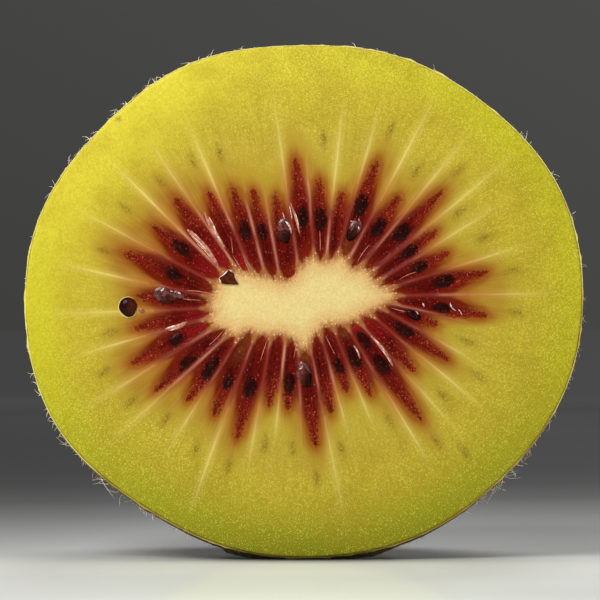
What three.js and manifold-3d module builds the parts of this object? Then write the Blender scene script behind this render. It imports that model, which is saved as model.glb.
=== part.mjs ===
// Half of a red-fleshed kiwi fruit, standing on its skin side with the cut face upright.
// Three solids lie one inside the other, as the cut shows them: the outer flesh with the form of
// the skin, the seed flesh with its star of seed cells, and the pale core. The inner two run back
// through the fruit from the cut. Millimetres, +Z up, and the cut face looks along -Y.

import * as THREE from 'three';
import { mergeVertices } from 'three/addons/utils/BufferGeometryUtils.js';
import Module from 'manifold-3d';

const wasm = await Module();
wasm.setup();

const DEGREE = Math.PI / 180;

// The outline of the cut: a mean radius and a few long waves that make it wide, lobed and uneven.
// A wave's crest is the bearing of its first crest, counter-clockwise from +X, seen from in front.
const MEAN_RADIUS = 24.99;
const LOBES = [
  { waves: 1, height: 0.15, crest: 81 },
  { waves: 2, height: 1.06, crest: 2.5 },
  { waves: 3, height: 0.08, crest: 46 },
  { waves: 4, height: 0.14, crest: 14 },
  { waves: 5, height: 0.06, crest: -18 },
  { waves: 7, height: 0.05, crest: 10 },
  { waves: 8, height: 0.12, crest: -19 },
];

// The fruit behind the cut. Its widest section lies a little way back, and its axis sinks
// slightly towards the stem end, so that it rests on a flat spot under its middle. The cut's rim
// stays a little above the floor, and skin that comes close to the floor has settled onto it.
const DEPTH = 34;
const WIDEST_BACK = 5;
const FULLNESS = 2.6;
const AXIS_SINK = 0.08;
const CUT_LIFT = 0.2;
const SETTLE = 0.3;
const RIM_ROUND = 0.25;
const FACE_HEIGHT = 23.92 + CUT_LIFT;

// The stem end: a small hard scar in a shallow dimple.
const SCAR_RADIUS = 1.5;
const DIMPLE_RADIUS = 3.4;
const DIMPLE_DEPTH = 1.1;

// The seed cells, counter-clockwise from the one just above +X. Each is given by where it leaves
// the core and where its red tip ends on the cut: [core x, core z, tip x, tip z], from the
// middle of the face.
const CELLS = [
  [8.4, 0.9, 17.3, 2.8],
  [7.2, 1.5, 13.6, 4.6],
  [6.5, 2.1, 12.5, 6.7],
  [5.8, 3.0, 13.0, 10.4],
  [4.5, 3.2, 9.0, 10.0],
  [3.6, 4.2, 6.9, 13.3],
  [2.5, 3.9, 3.6, 10.3],
  [1.6, 3.8, 1.4, 11.6],
  [0.4, 4.1, -0.9, 13.5],
  [-1.5, 2.1, -2.7, 10.1],
  [-3.0, 2.3, -4.8, 10.5],
  [-4.2, 2.5, -6.7, 10.7],
  [-5.4, 2.8, -9.0, 10.3],
  [-6.9, 2.9, -12.1, 9.7],
  [-7.9, 2.2, -14.2, 7.1],
  [-8.5, 1.0, -17.0, 4.6],
  [-8.9, -0.2, -15.8, 0.5],
  [-8.7, -1.1, -15.9, -2.5],
  [-8.9, -2.0, -16.2, -5.9],
  [-7.4, -2.7, -14.0, -8.5],
  [-6.5, -3.3, -11.0, -9.4],
  [-5.2, -2.9, -8.5, -10.9],
  [-3.8, -3.2, -6.3, -13.0],
  [-2.3, -3.2, -3.3, -9.9],
  [-1.1, -3.6, -1.6, -10.3],
  [0.0, -4.6, 1.1, -13.7],
  [1.0, -3.3, 2.6, -10.6],
  [2.0, -2.4, 4.1, -8.6],
  [3.3, -2.2, 6.3, -8.9],
  [4.4, -2.0, 11.0, -11.2],
  [5.5, -1.4, 10.4, -6.6],
  [6.6, -0.8, 13.6, -5.6],
  [7.5, -0.3, 12.5, -2.3],
  [8.3, 0.1, 17.2, -1.4],
];

// Round the star, each cell has two points on its blunt tip and one at the foot of each flank.
// The flesh between two cells reaches in to this share of their length.
const TIP_HALF_WIDTH = 0.12;
const CELL_POINTS = [TIP_HALF_WIDTH, 0.26, 0.74, 1 - TIP_HALF_WIDTH];
const FLANK_REACH = 0.72;
const TEETH_DEPTH = 19;

// How far the inner solids run back, and how narrow they end.
const SEED_FLESH_DEPTH = 23;
const SEED_FLESH_END = 0.3;
const MEAN_REACH = 8;
const CORE_DEPTH = 27;
const CORE_END = 0.4;
const CORE_MIDDLE = new THREE.Vector2(-0.1, 0.2);
const CORE_HALF_WIDTH = 8.4;
const CORE_HALF_HEIGHT = 3.4;
const CORE_TILT = 10 * DEGREE;
const CORE_EVEN_FROM = 12;
const GAP = 0.3;

// Seeds that show in the cut: [cell, share of its length, length of the seed]. The seeds lie
// with the pointed end to the core, half sunk in their cells.
const CELL_SINK = 0.25;
const SEED_WIDTH = 0.6;
const SEED_THICKNESS = 0.5;
const SEEDS = [
  [0, 0.52, 2.0],
  [1, 0.55, 1.7],
  [2, 0.55, 1.8],
  [3, 0.45, 2.1],
  [4, 0.54, 2.0],
  [5, 0.26, 2.2],
  [5, 0.52, 2.1],
  [7, 0.48, 2.2],
  [8, 0.39, 1.9],
  [9, 0.51, 2.1],
  [10, 0.51, 1.7],
  [11, 0.5, 1.9],
  [13, 0.14, 1.9],
  [14, 0.57, 2.0],
  [15, 0.43, 1.7],
  [16, 0.57, 2.1],
  [18, 0.4, 1.7],
  [19, 0.52, 2.0],
  [20, 0.48, 2.2],
  [21, 0.57, 1.6],
  [22, 0.49, 2.0],
  [24, 0.6, 1.9],
  [25, 0.26, 2.4],
  [27, 0.58, 1.5],
  [28, 0.45, 2.0],
  [29, 0.17, 1.9],
  [29, 0.42, 2.2],
  [31, 0.38, 1.9],
  [32, 0.53, 1.9],
  [33, 0.5, 1.8],
];

// One seed has slipped out and lies on the cut, near the tips on the left.
const LOOSE_SEED = { x: -16.36, z: -0.5, length: 1.95, width: 1.7, thickness: 1.0, turn: 100 };

// ---------------------------------------------------------------- form of the fruit

function outlineRadius(bearing) {
  let radius = MEAN_RADIUS;
  for (const lobe of LOBES) {
    radius += lobe.height * Math.cos(lobe.waves * (bearing - lobe.crest * DEGREE));
  }
  return radius;
}

// Size of the fruit's section a distance behind the cut, as a share of the cut's own size.
function sectionScale(back) {
  const share = Math.abs(back - WIDEST_BACK) / (DEPTH - WIDEST_BACK);
  return Math.sqrt(1 - share ** FULLNESS);
}
const CUT_SCALE = sectionScale(0);

// The other way round: how far back the section of a given size lies, on the stem side.
function backOfScale(scale) {
  const share = (1 - (scale * CUT_SCALE) ** 2) ** (1 / FULLNESS);
  return WIDEST_BACK + (DEPTH - WIDEST_BACK) * share;
}

// A point of the solids: x and z from the middle of the face, and the distance behind the cut.
function place(point, back, lift = 0) {
  const z = FACE_HEIGHT - AXIS_SINK * back + point.y;
  return new THREE.Vector3(point.x, back, Math.max(z, lift));
}

// ---------------------------------------------------------------- rays of the seed cells

const inner = CELLS.map(([x, z]) => new THREE.Vector2(x, z));
const tips = CELLS.map(([, , x, z]) => new THREE.Vector2(x, z));

// The ray at a place round the star: whole numbers are cells, and between two cells the ray lies
// evenly between theirs.
function ray(around) {
  const cell = Math.floor(around);
  const next = (cell + 1) % CELLS.length;
  const share = around - cell;
  return {
    root: inner[cell].clone().lerp(inner[next], share),
    tip: tips[cell].clone().lerp(tips[next], share),
  };
}

// Where a ray, run on past its tip, meets the outline of the cut.
function rimPoint({ root, tip }) {
  const way = tip.clone().sub(root).normalize();
  const point = tip.clone();
  for (let step = 0; step < 12; step += 1) {
    point.addScaledVector(way, outlineRadius(Math.atan2(point.y, point.x)) - point.length());
  }
  return point;
}

const RAYS = CELLS.flatMap((_, cell) => CELL_POINTS.map((share) => ({
  ...ray(cell + share),
  inCell: Math.min(share, 1 - share) <= TIP_HALF_WIDTH,
})));
const RIM_BEARINGS = RAYS.map((line) => {
  const rim = rimPoint(line);
  return Math.atan2(rim.y, rim.x);
});

// The core's outline at a distance behind the cut: the cells' inner ends at the cut itself, and
// an even, tilted oval further back.
function coreEdge(back) {
  const scale = 1 - (1 - CORE_END) * (back / CORE_DEPTH) ** 1.5;
  const evenness = Math.min(back / CORE_EVEN_FROM, 1);
  return RAYS.map(({ root }) => {
    const way = root.clone().sub(CORE_MIDDLE);
    const turn = way.angle() - CORE_TILT;
    const oval = 1 / Math.hypot(Math.cos(turn) / CORE_HALF_WIDTH, Math.sin(turn) / CORE_HALF_HEIGHT);
    const radius = THREE.MathUtils.lerp(way.length(), oval, evenness);
    return CORE_MIDDLE.clone().addScaledVector(way.normalize(), radius * scale);
  });
}

// The star's outline there. Its teeth fade out first, and its end is an even oval.
function starEdge(back) {
  const depth = back / SEED_FLESH_DEPTH;
  const scale = SEED_FLESH_END + (1 - SEED_FLESH_END) * Math.sqrt(1 - Math.min(depth, 1) ** 2);
  const core = coreEdge(back);
  return RAYS.map(({ root, tip, inCell }, index) => {
    const reach = inCell ? 1 : THREE.MathUtils.lerp(FLANK_REACH, 1, Math.min(back / TEETH_DEPTH, 1));
    const outward = core[index].clone().sub(CORE_MIDDLE).setLength(MEAN_REACH);
    const arm = tip.clone().sub(root).lerp(outward, depth ** 2);
    return core[index].clone().addScaledVector(arm, reach * scale);
  });
}

// An outline moved outwards by a distance, or inwards by a negative one.
function grown(outline, distance) {
  const count = outline.length;
  return outline.map((point, index) => {
    const before = point.clone().sub(outline[(index + count - 1) % count]).normalize();
    const after = outline[(index + 1) % count].clone().sub(point).normalize();
    const along = before.clone().add(after).normalize();
    const outward = new THREE.Vector2(along.y, -along.x);
    const spread = Math.max(Math.abs(before.x * outward.y - before.y * outward.x), 0.45);
    return point.clone().addScaledVector(outward, distance / spread);
  });
}

// ---------------------------------------------------------------- closed bodies from rings

// Strips of triangles from ring to ring. The rings follow the surface so that its outside is on
// the left of the way from each ring to the next, with the rings counter-clockwise.
function strips(rings, closing) {
  const count = rings[0].length;
  const triangles = [];
  const joins = closing ? rings.length : rings.length - 1;
  for (let ring = 0; ring < joins; ring += 1) {
    const here = ring * count;
    const there = ((ring + 1) % rings.length) * count;
    for (let index = 0; index < count; index += 1) {
      const next = (index + 1) % count;
      triangles.push(here + index, here + next, there + next);
      triangles.push(here + index, there + next, there + index);
    }
  }
  return triangles;
}

function geometryOf(points, triangles) {
  const geometry = new THREE.BufferGeometry();
  geometry.setAttribute('position', new THREE.Float32BufferAttribute(
    points.flatMap((point) => [point.x, point.y, point.z]), 3));
  geometry.setIndex(triangles);
  return geometry;
}

// A body between two poles, with a fan of triangles round each.
function bodyBetween(firstPole, rings, lastPole) {
  const count = rings[0].length;
  const triangles = strips(rings, false);
  const poles = rings.length * count;
  const last = (rings.length - 1) * count;
  for (let index = 0; index < count; index += 1) {
    const next = (index + 1) % count;
    triangles.push(poles, next, index);
    triangles.push(poles + 1, last + index, last + next);
  }
  return geometryOf([...rings.flat(), firstPole, lastPole], triangles);
}

// A body with a hole through it: its rings come round to the first again.
function bodyRound(rings) {
  return geometryOf(rings.flat(), strips(rings, true));
}

// ---------------------------------------------------------------- seeds fused on

function solidOf(geometry) {
  const bare = geometry.clone();
  bare.deleteAttribute('normal');
  bare.deleteAttribute('uv');
  const merged = mergeVertices(bare, 1e-5);
  return new wasm.Manifold(new wasm.Mesh({
    numProp: 3,
    vertProperties: new Float32Array(merged.attributes.position.array),
    triVerts: new Uint32Array(merged.index.array),
  }));
}

function geometryFrom(solid) {
  const mesh = solid.getMesh();
  const geometry = new THREE.BufferGeometry();
  geometry.setAttribute('position', new THREE.BufferAttribute(mesh.vertProperties, 3));
  geometry.setIndex(new THREE.BufferAttribute(mesh.triVerts, 1));
  return geometry;
}

// A drop-shaped seed, its pointed end along -X before it is turned about the line of sight.
function seedSolid({ x, z, back, length, width, thickness, turn }) {
  const half = [[-0.5, 0], [-0.28, 0.28], [0.08, 0.5], [0.38, 0.34], [0.5, 0]];
  const profile = half.map(([along, out]) => new THREE.Vector2(out, along));
  const geometry = new THREE.LatheGeometry(profile, 6);
  geometry.rotateZ(-Math.PI / 2);
  geometry.scale(length, thickness, width);
  geometry.rotateY(-turn);
  geometry.translate(x, back, FACE_HEIGHT + z);
  return solidOf(geometry);
}

function fused(geometry, seeds) {
  return geometryFrom(seeds.reduce((solid, seed) => solid.add(seedSolid(seed)), solidOf(geometry)));
}

// ---------------------------------------------------------------- the three solids

// Outer flesh: from the stem scar forwards over the skin to the cut, and back into the socket.
const SKIN_SCALES = [0.24, 0.38, 0.54, 0.69, 0.82, 0.91, 0.95, 0.98];
const FRONT_BACKS = [WIDEST_BACK, 2.5, RIM_ROUND];

function skinRing(scale, back, lift = 0) {
  return RIM_BEARINGS.map((bearing) => {
    const radius = outlineRadius(bearing) * scale;
    const point = new THREE.Vector2(Math.cos(bearing), Math.sin(bearing)).multiplyScalar(radius);
    const spot = place(point, back, lift);
    if (back > RIM_ROUND && spot.z < SETTLE) {
      spot.z = 0;
    }
    return spot;
  });
}

function endRing(radius, back) {
  return skinRing(radius / MEAN_RADIUS, back);
}

const STAR_BACKS = [0, 6, 13, 19];

function outerFlesh() {
  const dimple = backOfScale(DIMPLE_RADIUS / MEAN_RADIUS) - DIMPLE_DEPTH;
  const rings = [
    endRing(SCAR_RADIUS, DEPTH),
    endRing(SCAR_RADIUS * 1.2, dimple),
    endRing(DIMPLE_RADIUS, dimple + DIMPLE_DEPTH * 0.4),
    ...SKIN_SCALES.map((scale) => skinRing(scale / CUT_SCALE, backOfScale(scale / CUT_SCALE))),
    ...FRONT_BACKS.map((back) => skinRing(sectionScale(back) / CUT_SCALE, back)),
    skinRing(1 - RIM_ROUND / MEAN_RADIUS, 0, CUT_LIFT),
    ...STAR_BACKS.map((back) => grown(starEdge(back), GAP).map((point) => place(point, back))),
    grown(starEdge(SEED_FLESH_DEPTH), GAP).map((point) => place(point, SEED_FLESH_DEPTH + GAP)),
    grown(coreEdge(SEED_FLESH_DEPTH), GAP / 2).map((point) => place(point, SEED_FLESH_DEPTH + GAP)),
    grown(coreEdge(CORE_DEPTH), GAP / 2).map((point) => place(point, CORE_DEPTH + GAP)),
  ];
  const scar = place(new THREE.Vector2(), DEPTH);
  const socketEnd = place(CORE_MIDDLE, CORE_DEPTH + GAP);
  return fused(bodyBetween(scar, rings, socketEnd), [{
    ...LOOSE_SEED,
    back: -0.1,
    turn: LOOSE_SEED.turn * DEGREE,
  }]);
}

// Seed flesh: a ring round the core, its face sunk along each cell.
const FACE_SHARES = [0.3, 0.65];

function seedFlesh() {
  const round = grown(coreEdge(0), GAP / 2);
  const edge = starEdge(0);
  const sunk = FACE_SHARES.map((share) => round.map((point, index) => {
    const spot = point.clone().lerp(edge[index], share);
    return place(spot, RAYS[index].inCell ? CELL_SINK : 0);
  }));
  const hole = [SEED_FLESH_DEPTH, SEED_FLESH_DEPTH / 2].map(
    (back) => grown(coreEdge(back), GAP / 2).map((point) => place(point, back)));
  const rings = [
    round.map((point) => place(point, 0)),
    ...sunk,
    ...STAR_BACKS.map((back) => starEdge(back).map((point) => place(point, back))),
    starEdge(SEED_FLESH_DEPTH).map((point) => place(point, SEED_FLESH_DEPTH)),
    ...hole,
  ];
  const body = bodyRound(rings.reverse());
  return fused(body, SEEDS.map(([cell, share, length]) => {
    const line = ray(cell);
    const spot = line.root.clone().lerp(line.tip, share);
    const way = line.tip.clone().sub(line.root);
    return {
      x: spot.x,
      z: spot.y,
      back: CELL_SINK,
      length,
      width: length * SEED_WIDTH,
      thickness: length * SEED_THICKNESS,
      turn: Math.atan2(way.y, way.x),
    };
  }));
}

// Core: a column that narrows towards the stem end.
function core() {
  const backs = [0, SEED_FLESH_DEPTH / 2, SEED_FLESH_DEPTH, CORE_DEPTH];
  const rings = backs.map((back) => grown(coreEdge(back), -GAP / 2).map(
    (point) => place(point, back)));
  return bodyBetween(
    place(CORE_MIDDLE, CORE_DEPTH), rings.reverse(), place(CORE_MIDDLE, 0));
}

// ---------------------------------------------------------------- the fruit half

function flesh(name, geometry, color, roughness) {
  geometry.computeVertexNormals();
  const mesh = new THREE.Mesh(geometry, new THREE.MeshStandardMaterial({ color, roughness }));
  mesh.name = name;
  return mesh;
}

const fruit = new THREE.Group();
fruit.add(
  flesh('outer_flesh', outerFlesh(), 0xc2b03a, 0.4),
  flesh('seed_flesh', seedFlesh(), 0x6e1a12, 0.3),
  flesh('core', core(), 0xead38b, 0.5),
);

// The origin is on the floor, under the middle of the fruit.
const bounds = new THREE.Box3().setFromObject(fruit);
fruit.position.y = -(bounds.min.y + bounds.max.y) / 2;
fruit.updateMatrixWorld(true);

export default fruit;
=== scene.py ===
"""Half of a red-fleshed kiwi fruit, standing on its skin side with the cut face upright."""

import bpy
import numpy as np
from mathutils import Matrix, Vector


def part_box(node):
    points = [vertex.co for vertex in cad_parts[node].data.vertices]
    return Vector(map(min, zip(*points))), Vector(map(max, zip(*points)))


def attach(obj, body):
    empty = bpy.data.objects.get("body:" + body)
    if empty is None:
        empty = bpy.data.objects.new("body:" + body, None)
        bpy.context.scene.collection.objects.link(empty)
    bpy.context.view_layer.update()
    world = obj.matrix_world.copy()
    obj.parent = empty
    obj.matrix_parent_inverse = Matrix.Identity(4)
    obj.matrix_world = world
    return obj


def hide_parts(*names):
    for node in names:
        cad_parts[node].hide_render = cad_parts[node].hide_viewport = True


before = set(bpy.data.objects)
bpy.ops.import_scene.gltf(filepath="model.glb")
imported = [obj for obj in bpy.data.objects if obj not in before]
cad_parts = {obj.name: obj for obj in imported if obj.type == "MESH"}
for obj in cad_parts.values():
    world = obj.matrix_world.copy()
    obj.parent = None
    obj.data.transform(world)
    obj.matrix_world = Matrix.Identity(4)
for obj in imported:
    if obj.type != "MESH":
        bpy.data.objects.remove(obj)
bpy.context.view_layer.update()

# ---------------------------------------------------------------- the cut
# The flat face that the knife left. It is laid out as the fruit grew: rays run from the pale core
# through 34 seed cells and out to the rim, and every piece of the face is made on those rays.
# Lengths are in millimetres, bearings in degrees from +X, and the face is seen from in front.

MM = 0.001

# The outline: a mean radius and a few long waves, as (waves, height, bearing of first crest).
MEAN_RADIUS = 24.99
LOBES = [(1, 0.15, 81), (2, 1.06, 2.5), (3, 0.08, 46), (4, 0.14, 14), (5, 0.06, -18),
         (7, 0.05, 10), (8, 0.12, -19)]

# The thin skin, and the rounding of the flesh inside it.
SKIN_THICKNESS = 0.09
RIM_ROUND = 0.1

# Where the cut stands: the height of its middle over the floor, and its plane.
FACE_HEIGHT = 24.12
CUT_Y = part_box("core")[0].y / MM

# The seed cells, counter-clockwise from the one just above +X: where each leaves the core and
# where its red tip ends, [core x, core z, tip x, tip z] from the middle of the face.
CELLS = np.array([
    [8.4, 0.9, 17.3, 2.8], [7.2, 1.5, 13.6, 4.6], [6.5, 2.1, 12.5, 6.7], [5.8, 3.0, 13.0, 10.4],
    [4.5, 3.2, 9.0, 10.0], [3.6, 4.2, 6.9, 13.3], [2.5, 3.9, 3.6, 10.3], [1.6, 3.8, 1.4, 11.6],
    [0.4, 4.1, -0.9, 13.5], [-1.5, 2.1, -2.7, 10.1], [-3.0, 2.3, -4.8, 10.5],
    [-4.2, 2.5, -6.7, 10.7], [-5.4, 2.8, -9.0, 10.3], [-6.9, 2.9, -12.1, 9.7],
    [-7.9, 2.2, -14.2, 7.1], [-8.5, 1.0, -17.0, 4.6], [-8.9, -0.2, -15.8, 0.5],
    [-8.7, -1.1, -15.9, -2.5], [-8.9, -2.0, -16.2, -5.9], [-7.4, -2.7, -14.0, -8.5],
    [-6.5, -3.3, -11.0, -9.4], [-5.2, -2.9, -8.5, -10.9], [-3.8, -3.2, -6.3, -13.0],
    [-2.3, -3.2, -3.3, -9.9], [-1.1, -3.6, -1.6, -10.3], [0.0, -4.6, 1.1, -13.7],
    [1.0, -3.3, 2.6, -10.6], [2.0, -2.4, 4.1, -8.6], [3.3, -2.2, 6.3, -8.9],
    [4.4, -2.0, 11.0, -11.2], [5.5, -1.4, 10.4, -6.6], [6.6, -0.8, 13.6, -5.6],
    [7.5, -0.3, 12.5, -2.3], [8.3, 0.1, 17.2, -1.4],
])
COUNT = len(CELLS)
ROOTS, TIPS = CELLS[:, :2], CELLS[:, 2:]

# Pale strands run out from the walls between the cells. These are their outer ends, as (place
# round the star, distance from the core). Whole places are cells, halves are the walls.
STRAND_ENDS = np.array([
    (0.47, 12.9), (1.54, 12.5), (2.29, 15.9), (3.5, 14.9), (4.39, 16.3), (5.49, 13.8),
    (6.34, 13.4), (7.5, 9.0), (8.5, 15.1), (9.5, 8.0), (10.5, 5.0), (11.68, 14.3),
    (12.67, 13.7), (13.55, 13.9), (14.57, 13.8), (15.64, 13.5), (16.47, 13.6), (17.29, 12.2),
    (18.34, 13.3), (19.21, 14.3), (20.31, 11.6), (21.32, 16.2), (22.64, 12.1), (23.5, 9.0),
    (24.5, 8.0), (25.69, 15.4), (26.5, 9.0), (27.53, 9.6), (28.49, 14.4), (29.75, 13.2),
    (30.52, 12.6), (31.5, 10.0), (32.5, 7.0), (33.49, 13.3),
])
# A strand starts over these distances from the core, and fades out over these shares of its
# length.
STRAND_START, STRAND_FADE = (-0.8, 0.2), (0.68, 1.2)

# Veins that the knife cut across, in the same two measures.
VEINS = [
    (11.07, 11.86), (12.01, 11.48), (13.03, 10.52), (14.06, 10.91), (15.13, 10.71),
    (16.99, 9.39), (17.85, 10.79), (18.8, 10.87), (19.84, 9.98), (20.9, 11.84), (21.95, 12.62),
    (23.07, 10.13), (24.22, 9.89), (24.91, 12.03), (26.09, 10.86), (28.15, 10.04), (29.0, 13.7),
    (29.53, 15.9), (30.09, 10.47), (31.15, 11.38), (31.91, 8.58), (33.15, 11.54), (33.92, 11.07),
    (0.95, 10.52), (2.03, 10.09), (3.08, 12.56), (3.99, 10.61), (4.96, 12.57), (6.82, 11.3),
]
VEIN_LENGTH, VEIN_WIDTH = 0.85, 0.33
# A brown fleck of bruised flesh near the rim.
FLECK_MIDDLE, FLECK_RADIUS, FLECK_STRENGTH = (-17.3, 16.96), 0.22, 1.5

# Cells whose inner part is clear bright red, and cells where it is amber, with the share of the
# way to the tip where that ends.
CRIMSON = [(12, 0.3), (13, 0.55), (14, 0.45), (17, 0.45), (18, 0.6), (29, 0.3), (30, 0.6)]
AMBER_ROOTS = [(5, 0.3), (21, 0.45), (25, 0.22), (28, 0.25)]
# Where such a stain starts, how softly it ends, and half its width, which grows outwards.
STAIN_START, STAIN_SOFT = (-0.08, 0.04), 0.4
STAIN_HALF, STAIN_GROWTH = 0.35, 1.6

# Seeds that lie under a film of pulp: (cell, share of the way to its tip, length). Their width is
# a share of their length, and they narrow towards the core, but not below a least share of it.
FILMED_SEEDS = [
    (0, 0.52, 2.0), (1, 0.55, 1.7), (2, 0.55, 1.8), (3, 0.45, 2.1), (4, 0.54, 2.0),
    (5, 0.52, 2.1), (7, 0.48, 2.2), (8, 0.39, 1.9), (10, 0.51, 1.7), (11, 0.5, 1.9),
    (14, 0.57, 2.0), (15, 0.43, 1.7), (18, 0.4, 1.7), (19, 0.52, 2.0), (20, 0.48, 2.2),
    (21, 0.57, 1.6), (22, 0.49, 2.0), (24, 0.6, 1.9), (27, 0.58, 1.5), (28, 0.45, 2.0),
    (29, 0.17, 1.9), (29, 0.42, 2.2), (31, 0.38, 1.9), (33, 0.5, 1.8),
]
FILMED_WIDTH, FILMED_NARROW, FILMED_LEAST = 0.6, 0.35, 0.2


def outline_radius(bearing):
    return MEAN_RADIUS + sum(
        height * np.cos(waves * (bearing - np.radians(crest))) for waves, height, crest in LOBES)


def unit(vectors):
    return vectors / np.linalg.norm(vectors, axis=-1, keepdims=True)


def straight_between(points, place):
    """Points of a closed row at places between its members, on straight lines."""
    cell = np.floor(place).astype(int)
    share = (place - cell)[..., None]
    return points[cell % COUNT] * (1 - share) + points[(cell + 1) % COUNT] * share


def smooth_between(points, place):
    """The same on a smooth curve."""
    cell = np.floor(place).astype(int)
    share = (place - cell)[..., None]
    a, b, c, d = (points[(cell + move) % COUNT] for move in (-1, 0, 1, 2))
    return 0.5 * (2 * b + (c - a) * share + (2 * a - 5 * b + 4 * c - d) * share ** 2
                  + (3 * b - a - 3 * c + d) * share ** 3)


def on_cut(place, distance):
    """The point of the face at a place round the star and a distance out from the core."""
    place = np.asarray(place, float)
    root = straight_between(ROOTS, place)
    way = unit(straight_between(TIPS, place) - root)
    return root + way * np.asarray(distance, float)[..., None]


def along_and_across(points, starts, ends):
    """Distances of points along a line and to its left, and the line's length."""
    way = unit(ends - starts)
    off = points - starts
    along = (off * way).sum(-1)
    across = way[..., 0] * off[..., 1] - way[..., 1] * off[..., 0]
    return along, across, np.linalg.norm(ends - starts, axis=-1)


def step(value, low, high):
    """A smooth step from 0 to 1 between two limits."""
    share = np.clip((value - low) / (high - low), 0, 1)
    return share * share * (3 - 2 * share)


WALL_STARTS = on_cut(np.arange(COUNT) + 0.5, np.zeros(COUNT))
WALL_ENDS = on_cut(STRAND_ENDS[:, 0], STRAND_ENDS[:, 1])

# Half the width of a cell's red pulp, by the share of the way from the core to its tip. Near
# the core the pulp fills the cell up to its thin walls, and its root rounds off over a length.
WALL_HALF = 0.11
PULP_SHARES = [0.0, 0.3, 0.5, 0.75, 0.9, 0.97, 1.0]
PULP_WIDTHS = [2.0, 1.15, 0.78, 0.52, 0.42, 0.3, 0.0]
ROOT_ROUND = 0.7


def pulp_depth(points, cell):
    """How deep inside a cell's red pulp a point lies, negative outside it."""
    along, across, length = along_and_across(points, ROOTS[cell], TIPS[cell])
    wall = np.where(across > 0, cell, cell - 1) % COUNT
    middle = ROOTS[cell] + unit(TIPS[cell] - ROOTS[cell]) * along[..., None]
    _, room, _ = along_and_across(middle, WALL_STARTS[wall], WALL_ENDS[wall])
    width = np.interp(along / length, PULP_SHARES, PULP_WIDTHS)
    width = np.maximum(np.minimum(width, np.abs(room) - WALL_HALF), 0)
    width *= np.sqrt(1 - (1 - np.clip(along / ROOT_ROUND, 0, 1)) ** 2)
    beyond = np.maximum(np.maximum(-along, along - length), 0)
    outside = np.hypot(np.maximum(np.abs(across) - width, 0), beyond)
    return np.where(outside > 0, -outside, width - np.abs(across))


def nearest_pulp(points, place):
    """Depth in the pulp of the nearest cell, for points near a place round the star."""
    cells = [np.floor(place).astype(int) + move for move in (-1, 0, 1, 2)]
    return np.max([pulp_depth(points, cell % COUNT) for cell in cells], axis=0)


# The grid of the face. Its columns are rays from the core to the rim. Its rows lie in three
# belts, which are the core, the seed flesh and the outer flesh.
COLUMNS = COUNT * 16
CORE_ROWS, SEED_ROWS, OUTER_ROWS = 24, 84, 66
CORE_LINE = CORE_ROWS - 1
STAR_LINE = CORE_LINE + SEED_ROWS
CORE_MIDDLE = np.array([-0.1, 0.2])
# The core's rows end this far inside its edge.
CORE_INSET = 0.35
# The seed flesh ends this far past the pulp, and at the least at this share of the way to a tip.
STAR_MARGIN = 0.45
LEAST_REACH = 0.74
SMOOTHING = np.array([1, 4, 6, 4, 1]) / 16

places = np.arange(COLUMNS) / COLUMNS * COUNT
column_roots = smooth_between(ROOTS, places)
column_arms = smooth_between(TIPS, places) - column_roots
column_lengths = np.linalg.norm(column_arms, axis=-1)
column_ways = unit(column_arms)

# The rim is where the columns meet the outline. Each column's end is moved there bit by bit.
RIM_MOVES = 20
rim_points = column_roots + column_arms
for _ in range(RIM_MOVES):
    short = outline_radius(np.arctan2(rim_points[:, 1], rim_points[:, 0]))
    short = short - np.linalg.norm(rim_points, axis=-1)
    rim_points = rim_points + column_ways * short[:, None]
rim_bearings = np.unwrap(np.arctan2(rim_points[:, 1], rim_points[:, 0]))
rim_reach = ((rim_points - column_roots) * column_ways).sum(-1) - SKIN_THICKNESS - RIM_ROUND


def out_along(distance):
    """The points of all columns at a distance out from the core."""
    return column_roots + column_ways * distance[..., None]


# How far the seed flesh reaches along each column, found by trying distances out from the core.
FARTHEST_TRY, TRY_STEP = 22, 0.1
tries = np.arange(0, FARTHEST_TRY, TRY_STEP)[:, None]
try_points = out_along(tries)
in_star = nearest_pulp(try_points, np.broadcast_to(places, try_points.shape[:2])) > -STAR_MARGIN
star_reach = np.maximum((in_star * tries).max(0), column_lengths * LEAST_REACH)
star_reach = sum(
    weight * np.roll(star_reach, move) for move, weight in enumerate(SMOOTHING, -2))


def shares(count):
    """Even steps up to 1, one for each row of a belt."""
    return np.arange(1, count + 1)[:, None] / count


core_arms = column_roots - column_ways * CORE_INSET - CORE_MIDDLE
face = np.concatenate([
    CORE_MIDDLE + core_arms * shares(CORE_ROWS)[..., None],
    out_along((star_reach + CORE_INSET) * shares(SEED_ROWS) - CORE_INSET),
    out_along(star_reach + (rim_reach - star_reach) * shares(OUTER_ROWS)),
])
face_places = np.broadcast_to(places, face.shape[:2])

# What lies where on the face: distances in millimetres, and shares from 0 to 1. Depths in the
# pulp matter to the finishes between two limits alone.
PULP_LIMITS = (-6, 2)
pulp = nearest_pulp(face, face_places)
wall = np.floor(face_places).astype(int)
wall_along, wall_across, wall_length = along_and_across(face, WALL_STARTS[wall], WALL_ENDS[wall])
wall_off = np.abs(wall_across)
strand = (1 - step(wall_along / wall_length, *STRAND_FADE)) * step(wall_along, *STRAND_START)
from_core = ((face - column_roots) * column_ways).sum(-1)
in_core = from_core < 0
off_core = from_core.copy()
off_core[in_core] = -np.linalg.norm(face[in_core][:, None] - column_roots, axis=-1).min(1)
spread = np.linalg.norm(face, axis=-1) / outline_radius(np.arctan2(face[..., 1], face[..., 0]))

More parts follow.
